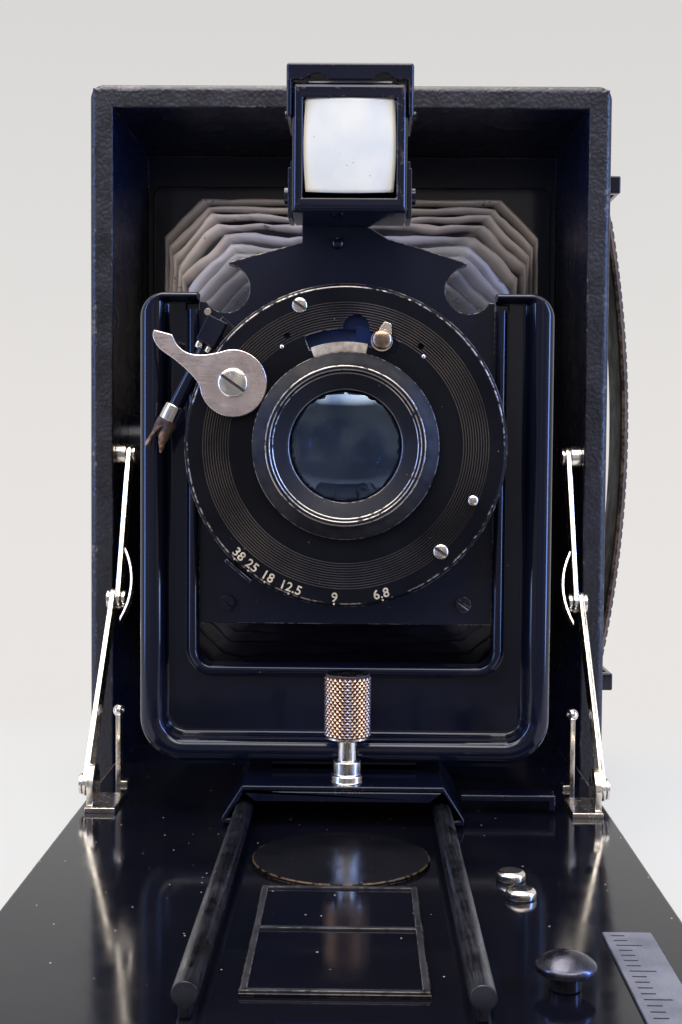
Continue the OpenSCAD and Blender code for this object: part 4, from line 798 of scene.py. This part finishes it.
STRAP_Y, STRAP_W, STRAP_T = 98.5, 16.0, 2.2
STRAP_Z, STRAP_HALF, STRAP_X, STRAP_BOW = 81.0, 52.5, 57.7, 5.2
STRAP_ENDS = (STRAP_HALF + 3, STRAP_HALF + 8.8)  # flat on the case, through the loops
CROWN_STEPS, CUT_EDGE = 14, 0.8
radius = (STRAP_HALF ** 2 + STRAP_BOW ** 2) / (2 * STRAP_BOW)


def strap_path(steps=44):
    """Middle of the strap as x and z, from the lower tail to the upper one."""
    points = [(STRAP_X, STRAP_Z - end) for end in reversed(STRAP_ENDS)]
    for i in range(steps + 1):
        z = STRAP_Z - STRAP_HALF + 2 * STRAP_HALF * i / steps
        bow = math.sqrt(radius ** 2 - (z - STRAP_Z) ** 2) - (radius - STRAP_BOW)
        points.append((STRAP_X + max(bow, 0), z))
    return points + [(STRAP_X, STRAP_Z + end) for end in STRAP_ENDS]


# Section of the strap: flat back, crowned face, rounded cut edges
section = []
for i in range(CROWN_STEPS + 1):
    s = -1 + 2 * i / CROWN_STEPS
    section.append((s * STRAP_W / 2, STRAP_T * (1 - 0.5 * abs(s) ** 7) - 0.16 * s * s))
section += [(STRAP_W / 2 - 0.3, 0.3), (STRAP_W / 2 - 0.9, 0.05), (-STRAP_W / 2 + 0.9, 0.05),
            (-STRAP_W / 2 + 0.3, 0.3)]
path = strap_path()
verts, wear = [], []
for x, z in path:
    for across, up in section:
        verts.append((x + up, STRAP_Y + across, z))
        wear.append(1.0 if abs(across) > STRAP_W / 2 - CUT_EDGE else 0.0)
n = len(section)
faces = quads(len(path), n) + [tuple(range(n)), tuple(range(len(verts) - n, len(verts)))]
sheet_piece("carrying_strap", verts, faces, saddle, "case", ["strap"], 40, wear)


# Repeated pieces

def grown(name, tree, values, finish, body):
    """Runs a geometry tree with named inputs and keeps its plain mesh."""
    raw = new_object(name + "_raw", bpy.data.meshes.new(name + "_raw"))
    work = raw.modifiers.new("grow", "NODES")
    work.node_group = tree
    for item in tree.interface.items_tree:
        if item.item_type == "SOCKET" and item.in_out == "INPUT" and item.name in values:
            work[item.identifier] = values[item.name]
    made = smoothed(baked(raw, name), 30)
    return finished(made, finish, body)


def tree_with(name, sockets):
    """A geometry tree and its named inputs, given as name and kind."""
    tree = bpy.data.node_groups.new(name, "GeometryNodeTree")
    for label, kind in sockets.items():
        tree.interface.new_socket(label, in_out="INPUT", socket_type="NodeSocket" + kind)
    tree.interface.new_socket("Geometry", in_out="OUTPUT", socket_type="NodeSocketGeometry")
    return tree, add(tree, "NodeGroupInput").node.outputs


def on_circle(tree, angle, radius):
    """Both coordinates of the points at an angle on a circle."""
    sides = [add(tree, MATH, [angle], operation=side) for side in ("COSINE", "SINE")]
    return [add(tree, MATH, [side, radius], **TIMES) for side in sides]


def set_out(tree, given, dots, spot, shape, turn):
    """Puts a turned shape at each spot about the centre and ends the tree with its plain mesh."""
    there = add(tree, VECTOR, [spot, given["Centre"]], **PLUS)
    placed = add(tree, "GeometryNodeSetPosition", {"Geometry": dots, "Position": there})
    parts = {"Points": placed, "Instance": shape, "Rotation": turn}
    copies = add(tree, "GeometryNodeInstanceOnPoints", parts)
    real = add(tree, "GeometryNodeRealizeInstances", [copies])
    last = add(tree, "GeometryNodeSetMaterial", {"Geometry": real, "Material": given["Finish"]})
    add(tree, "NodeGroupOutput", [last])
    return tree


def knurl_tree():
    """Pointed studs in staggered rows round an upright cylinder."""
    tree, given = tree_with("diamond_knurl", {
        "Radius": "Float", "Foot": "Float", "Pitch": "Float", "Around": "Int", "Rows": "Int",
        "Centre": "Vector", "Half width": "Float", "Tip": "Float", "Rise": "Float", "Finish": "Material"})
    total = add(tree, MATH, [given["Around"], given["Rows"]], **TIMES)
    dots = add(tree, "GeometryNodePoints", {"Count": total})
    number = add(tree, "GeometryNodeInputIndex")
    ratio = add(tree, MATH, [number, given["Around"]], operation="DIVIDE")
    row = add(tree, MATH, [ratio], operation="FLOOR")
    odd = add(tree, MATH, [row, 2.0], operation="MODULO")
    half = add(tree, MATH, [odd, 0.5], **TIMES)
    column = add(tree, MATH, [number, half], **PLUS)
    part = add(tree, MATH, [column, given["Around"]], operation="DIVIDE")
    angle = add(tree, MATH, [part, 2 * math.pi], **TIMES)
    across, along = on_circle(tree, angle, given["Radius"])
    up = add(tree, MATH, [row, given["Pitch"]], **TIMES)
    high = add(tree, MATH, [up, given["Foot"]], **PLUS)
    spot = add(tree, "ShaderNodeCombineXYZ", [across, along, high])
    stud = add(tree, "GeometryNodeMeshCone", {"Vertices": 4, "Radius Top": given["Tip"],
                                              "Radius Bottom": given["Half width"], "Depth": given["Rise"]})
    turn = add(tree, "ShaderNodeCombineXYZ", {1: math.pi / 2, 2: angle})
    return set_out(tree, given, dots, spot, stud, turn)


KNOB = (0.7, 24.7)
HEAD_FOOT, CORE_R = 23.9, 4.0  # the solid's knurled head starts at this height, and gets this core
DIRT_AND_SHADE_FOOT, DIRT_AND_SHADE_R = 24.2, 3.9
bm = merged("clamp_knob")
for v in bm.verts:
    off = Vector((v.co.x / MM - KNOB[0], v.co.y / MM - KNOB[1]))
    if v.co.z / MM > HEAD_FOOT and off.length > CORE_R + 0.2:
        off *= CORE_R / off.length
        v.co.x, v.co.y = (KNOB[0] + off.x) * MM, (KNOB[1] + off.y) * MM
round_edges(bm, 0.12, 2)
core = piece("clamp_knob_core", bm, nickel, "clamp_knob", ["clamp_knob"])
# Between the studs the core takes the dark finish: dirt and painted shade
core.data.materials.append(dirt_and_shade)
for face in core.data.polygons:
    x, y, z = face.center / MM
    if z > DIRT_AND_SHADE_FOOT and math.hypot(x - KNOB[0], y - KNOB[1]) > DIRT_AND_SHADE_R:
        face.material_index = 1
STUD_HALF = 0.46
grown("clamp_knob_knurl", knurl_tree(), {
    "Radius": 4.1 * MM, "Foot": 24.5 * MM, "Pitch": 0.52 * MM, "Around": 26, "Rows": 21,
    "Centre": (KNOB[0] * MM, KNOB[1] * MM, 0.0), "Half width": STUD_HALF * MM, "Tip": 0.12 * STUD_HALF * MM,
    "Rise": 0.26 * MM, "Finish": knurled,
}, knurled, "clamp_knob")


def stitch_tree():
    """Thread stitches along both edges of the bowed strap."""
    tree, given = tree_with("strap_stitches", {
        "Radius": "Float", "Centre": "Vector", "Whole span": "Float", "Count": "Int", "Length": "Float",
        "Thickness": "Float", "Offset": "Float", "Finish": "Material"})
    both = add(tree, MATH, [given["Count"], 2.0], **TIMES)
    dots = add(tree, "GeometryNodePoints", {"Count": both})
    number = add(tree, "GeometryNodeInputIndex")
    side = add(tree, MATH, [number, 2.0], operation="MODULO")
    step = add(tree, MATH, [number, 2.0], operation="DIVIDE")
    step = add(tree, MATH, [step], operation="FLOOR")
    part = add(tree, MATH, [step, given["Count"]], operation="DIVIDE")
    part = add(tree, MATH, [part, 0.5], **MINUS)
    angle = add(tree, MATH, [part, given["Whole span"]], **TIMES)
    across, up = on_circle(tree, angle, given["Radius"])
    hand = add(tree, MATH, [side, 0.5], **MINUS)
    away = add(tree, MATH, [hand, given["Offset"]], **TIMES)
    spot = add(tree, "ShaderNodeCombineXYZ", [across, away, up])
    stitch = add(tree, "GeometryNodeMeshCylinder", {"Vertices": 6, "Radius": given["Thickness"],
                                                    "Depth": given["Length"]})
    lean = add(tree, MATH, [angle, -1.0], **TIMES)
    turn = add(tree, "ShaderNodeCombineXYZ", {1: lean})
    return set_out(tree, given, dots, spot, stitch, turn)


# Waxed linen thread: dull dark brown
thread = surface("waxed_linen", "#4b3a2c", "#2e241c", 2, (0.6, 0.8), grain=(0.3, 0.02))
grown("strap_stitching", stitch_tree(), {
    "Radius": (radius + STRAP_T - 0.3) * MM, "Whole span": 2 * math.asin((STRAP_HALF - 2) / radius),
    "Centre": ((STRAP_X + STRAP_BOW - radius) * MM, STRAP_Y * MM, STRAP_Z * MM), "Count": 44,
    "Length": 1.6 * MM, "Thickness": 0.2 * MM, "Offset": (STRAP_W - 4) * MM, "Finish": thread,
}, thread, "case")


# Figures on the aperture scale

FIGURE_R, FIGURE_H, DOT_R, DOT_SIZE = 27.8, 1.7, 28.95, 0.2
CAPITAL = 0.72  # height of a figure in one line of text
STOPS = (("38", 224.2), ("25", 217.6), ("18", 210.4), ("12.5", 200.8), ("9", 183.8), ("6.8", 166.0))


def outward(degrees):
    """Direction from the lens axis to a mark of the scale, from straight up to the right."""
    turn = math.radians(degrees)
    return Vector((math.sin(turn), 0, math.cos(turn)))


def figure(name, text, degrees):
    """One figure of the scale, its foot to the rim, raised a little from the face plate."""
    curve = bpy.data.curves.new(name, "FONT")
    curve.body = text
    curve.size = FIGURE_H / CAPITAL
    curve.align_x, curve.align_y = "CENTER", "CENTER"
    curve.extrude = 0.03
    curve.offset = 0.035
    curve.space_character = 1.05
    made = baked(new_object(name + "_curve", curve), name)
    up = -outward(degrees)
    facing = Vector((0, -1, 0))
    spot = Vector((0, FACE_Y - 0.02, LENS_Z)) - up * FIGURE_R
    place = Matrix.Identity(4)
    for column, axis in enumerate((up.cross(facing), up, facing, spot)):
        for row in range(3):
            place[row][column] = axis[row] * MM
    made.data.transform(place)
    return made


def joined(name, parts):
    bm = bmesh.new()
    for part in parts:
        bm.from_mesh(part.data)
        bpy.data.objects.remove(part)
    bmesh.ops.recalc_face_normals(bm, faces=bm.faces)
    return mesh_from(name, bm)


digits = [figure("figure_" + text.replace(".", "_"), text, degrees) for text, degrees in STOPS]
finished(joined("aperture_figures", digits), filler, "standard")

bm = bmesh.new()
for text, degrees in STOPS:
    spot = (Vector((0, FACE_Y + 0.03, LENS_Z)) + outward(degrees) * DOT_R) * MM
    bmesh.ops.create_uvsphere(bm, u_segments=10, v_segments=6, radius=DOT_SIZE * MM,
                              matrix=Matrix.Translation(spot))
piece("aperture_dots", bm, filler, "standard")


# Small rivets and screw heads

def flattened(spot, radius, rise):
    """The matrix that turns a ball at a spot, in millimetres, into a low dome that looks forward."""
    return Matrix.Translation(Vector(spot) * MM) @ Matrix.Diagonal((1, rise / radius, 1, 1))


def rivets(name, spots, radius, rise, finish, body="standard"):
    """Low domes on the faces that look forward."""
    bm = bmesh.new()
    for spot in spots:
        bmesh.ops.create_uvsphere(bm, u_segments=20, v_segments=10, radius=radius * MM,
                                  matrix=flattened(spot, radius, rise))
    piece(name, bm, finish, body)


BOARD_Y = 32.5
rivets("face_rivets", [(-11.7, FACE_Y, 95.9), (14.0, FACE_Y, 94.3)], 0.42, 0.3, nickel)
rivets("neck_rivet", [(-1.9, BOARD_Y, 116.2)], 1.2, 0.9, enamel)

SLOT_TURN, SLOT_HALF, SLOT_DEEP = math.radians(35), 0.26, 0.3
# x, z, front, radius and rise of each slotted screw's dome, then front and half length of its slot's floor
SLOTTED = ((-20.4, 89.2, 19.1, 2.62, 0.5, 19.0, 2.5), (-8.5, 103.4, 21.0, 1.32, 0.32, 20.95, 1.25),
           (17.5, 58.9, 21.0, 1.32, 0.32, 20.95, 1.25))
along = Vector((math.sin(SLOT_TURN), 0, math.cos(SLOT_TURN)))
heads, floors = bmesh.new(), bmesh.new()
for x, z, front, radius, rise, floor_front, floor_half in SLOTTED:
    spot = (x, front, z)
    for side in (-1, 1):
        made = bmesh.ops.create_uvsphere(heads, u_segments=48, v_segments=24, radius=radius * MM,
                                         matrix=flattened(spot, radius, rise))
        edges = {e for v in made["verts"] for e in v.link_edges}
        around = {f for v in made["verts"] for f in v.link_faces}
        wall = Vector(spot) * MM + along * (side * SLOT_HALF * MM)
        cut = bmesh.ops.bisect_plane(heads, geom=[*made["verts"], *edges, *around], clear_inner=True,
                                     plane_co=wall, plane_no=along * side)
        bmesh.ops.holes_fill(heads, edges=[e for e in cut["geom_cut"] if isinstance(e, bmesh.types.BMEdge)])
    lie = Matrix.Translation(Vector((x, floor_front, z)) * MM) @ Matrix.Rotation(SLOT_TURN, 4, "Y")
    size = Matrix.Diagonal((2 * floor_half * MM, SLOT_DEEP * MM, 2 * SLOT_HALF * MM, 1))
    bmesh.ops.create_cube(floors, size=1, matrix=lie @ size)
bmesh.ops.recalc_face_normals(heads, faces=heads.faces)
piece("domed_heads", heads, nickel, "standard")
rivets("pin_head", [(23.2, 20.5, 68.3)], 0.96, 0.4, nickel)
rivets("speed_knob_dome", [(6.46, 19.6, 97.2)], 1.9, 0.9, knurled, "speed_selector")
# The floors of the slots take the dark finish: dirt and painted shade in the slots
piece("slot_floors", floors, dirt_and_shade, "standard")


# Finder lens

GRID, WINDOW_Z = 24, 130.9
WINDOW_HALF, WINDOW_Y, BULGE = (8.15, 8.4), 15.6, 0.9


def on_window(u, v):
    """Point of the barrel-sided dome of the lens from u and v between -1 and 1."""
    x = u * WINDOW_HALF[0] * (1 - 0.05 * v * v)
    z = v * WINDOW_HALF[1] * (1 - 0.03 * u * u)
    return (FINDER_X + x, WINDOW_Y - BULGE * (1 - 0.55 * (u * u + v * v)), WINDOW_Z + z)


marks = [-1 + 2 * i / GRID for i in range(GRID + 1)]
verts = [on_window(u, v) for u in marks for v in marks]
sheet_piece("finder_window", verts, quads(GRID + 1, GRID + 1, False), milky, "finder",
            ["finder_lens"], 60, thick=0.8)


# Hose stub

RELEASE_FROM, RELEASE_TO, RELEASE_Y = (-23.8, 22.6), (-33.0, 4.4), 26.3
down = Vector((RELEASE_TO[0] - RELEASE_FROM[0], 0, RELEASE_TO[1] - RELEASE_FROM[1])).normalized()
deep = Vector((0, 1, 0))
sideways = deep.cross(down)
root = Vector((RELEASE_TO[0], RELEASE_Y, LENS_Z + RELEASE_TO[1]))
HOSE_SIDES, HOSE_STEPS, HOSE_R, HOSE_L = 30, 12, 1.62, 5.2
verts, wear = [], []
for i in range(HOSE_STEPS + 1):
    for j in range(HOSE_SIDES):
        angle = 2 * math.pi * j / HOSE_SIDES
        # Three petals of unequal length, curling out at their ends
        petal = 0.5 + 0.5 * math.cos(3 * angle + 0.6)
        length = (0.35 + 0.65 * petal ** 0.6) * (HOSE_L + 1.2 * math.sin(angle * 2 + 1))
        s = i / HOSE_STEPS
        r = HOSE_R + 0.1 * math.sin(9 * s) - 0.6 * s * (1 - petal) + 0.3 * s * s * math.sin(5 * angle)
        around = sideways * math.cos(angle) + deep * math.sin(angle)
        verts.append(tuple(root + down * (s * length) + around * r))
        wear.append(s * s)
sheet_piece("torn_hose", verts, quads(HOSE_STEPS + 1, HOSE_SIDES), rubber, "standard",
            ["hose_stub"], 60, wear, thick=-0.35)


# Bed fittings

PLATE_X, PLATE_Y, PLATE_TOP, PLATE_MIDDLE = 12.3, (-58.0, -15.4), 8.5, -34.8
INSET, BORDER, RAISED, SUNK = 0.2, 0.9, 0.35, 0.1
BORDER_LOW, BORDER_TOP = PLATE_TOP - SUNK, PLATE_TOP + RAISED
bm = bmesh.new()
for x in (-PLATE_X + INSET, PLATE_X - INSET - BORDER):
    bar(bm, x, PLATE_Y[0] + INSET, BORDER_LOW, x + BORDER, PLATE_Y[1] - INSET, BORDER_TOP)
for y in (PLATE_Y[0] + INSET, PLATE_MIDDLE, PLATE_Y[1] - INSET - BORDER):
    bar(bm, -PLATE_X + 0.7, y, BORDER_LOW, PLATE_X - 0.7, y + BORDER, BORDER_TOP)
round_edges(bm, 0.12, 2)
# Raised border of the plate, its lacquer rubbed to grey metal
border = surface("rubbed_lacquer", "#1b1c20", "#37373a", 5, (0.3, 0.5), 0.3, grain=(0.6, 0.006),
                 worn=("#77726d", 0.6, 0.35, 0.5))
piece("plate_border", bm, border, "case")

# Marks of the distance scale, every fifth one long
SCALE_X, SCALE_Y, SCALE_TOP = 39.0, -68.0, 8.5
MARKS, MARK_STEP, MARK_W, MARK_SHORT, MARK_LONG = 18, 1.9, 0.28, 1.9, 3.6
bm = bmesh.new()
for i in range(MARKS):
    y = SCALE_Y + i * MARK_STEP
    end = SCALE_X + (MARK_SHORT if i % 5 else MARK_LONG)
    bar(bm, SCALE_X, y, SCALE_TOP - 0.02, end, y + MARK_W, SCALE_TOP + 0.03)
piece("scale_marks", bm, lacquer, "case")
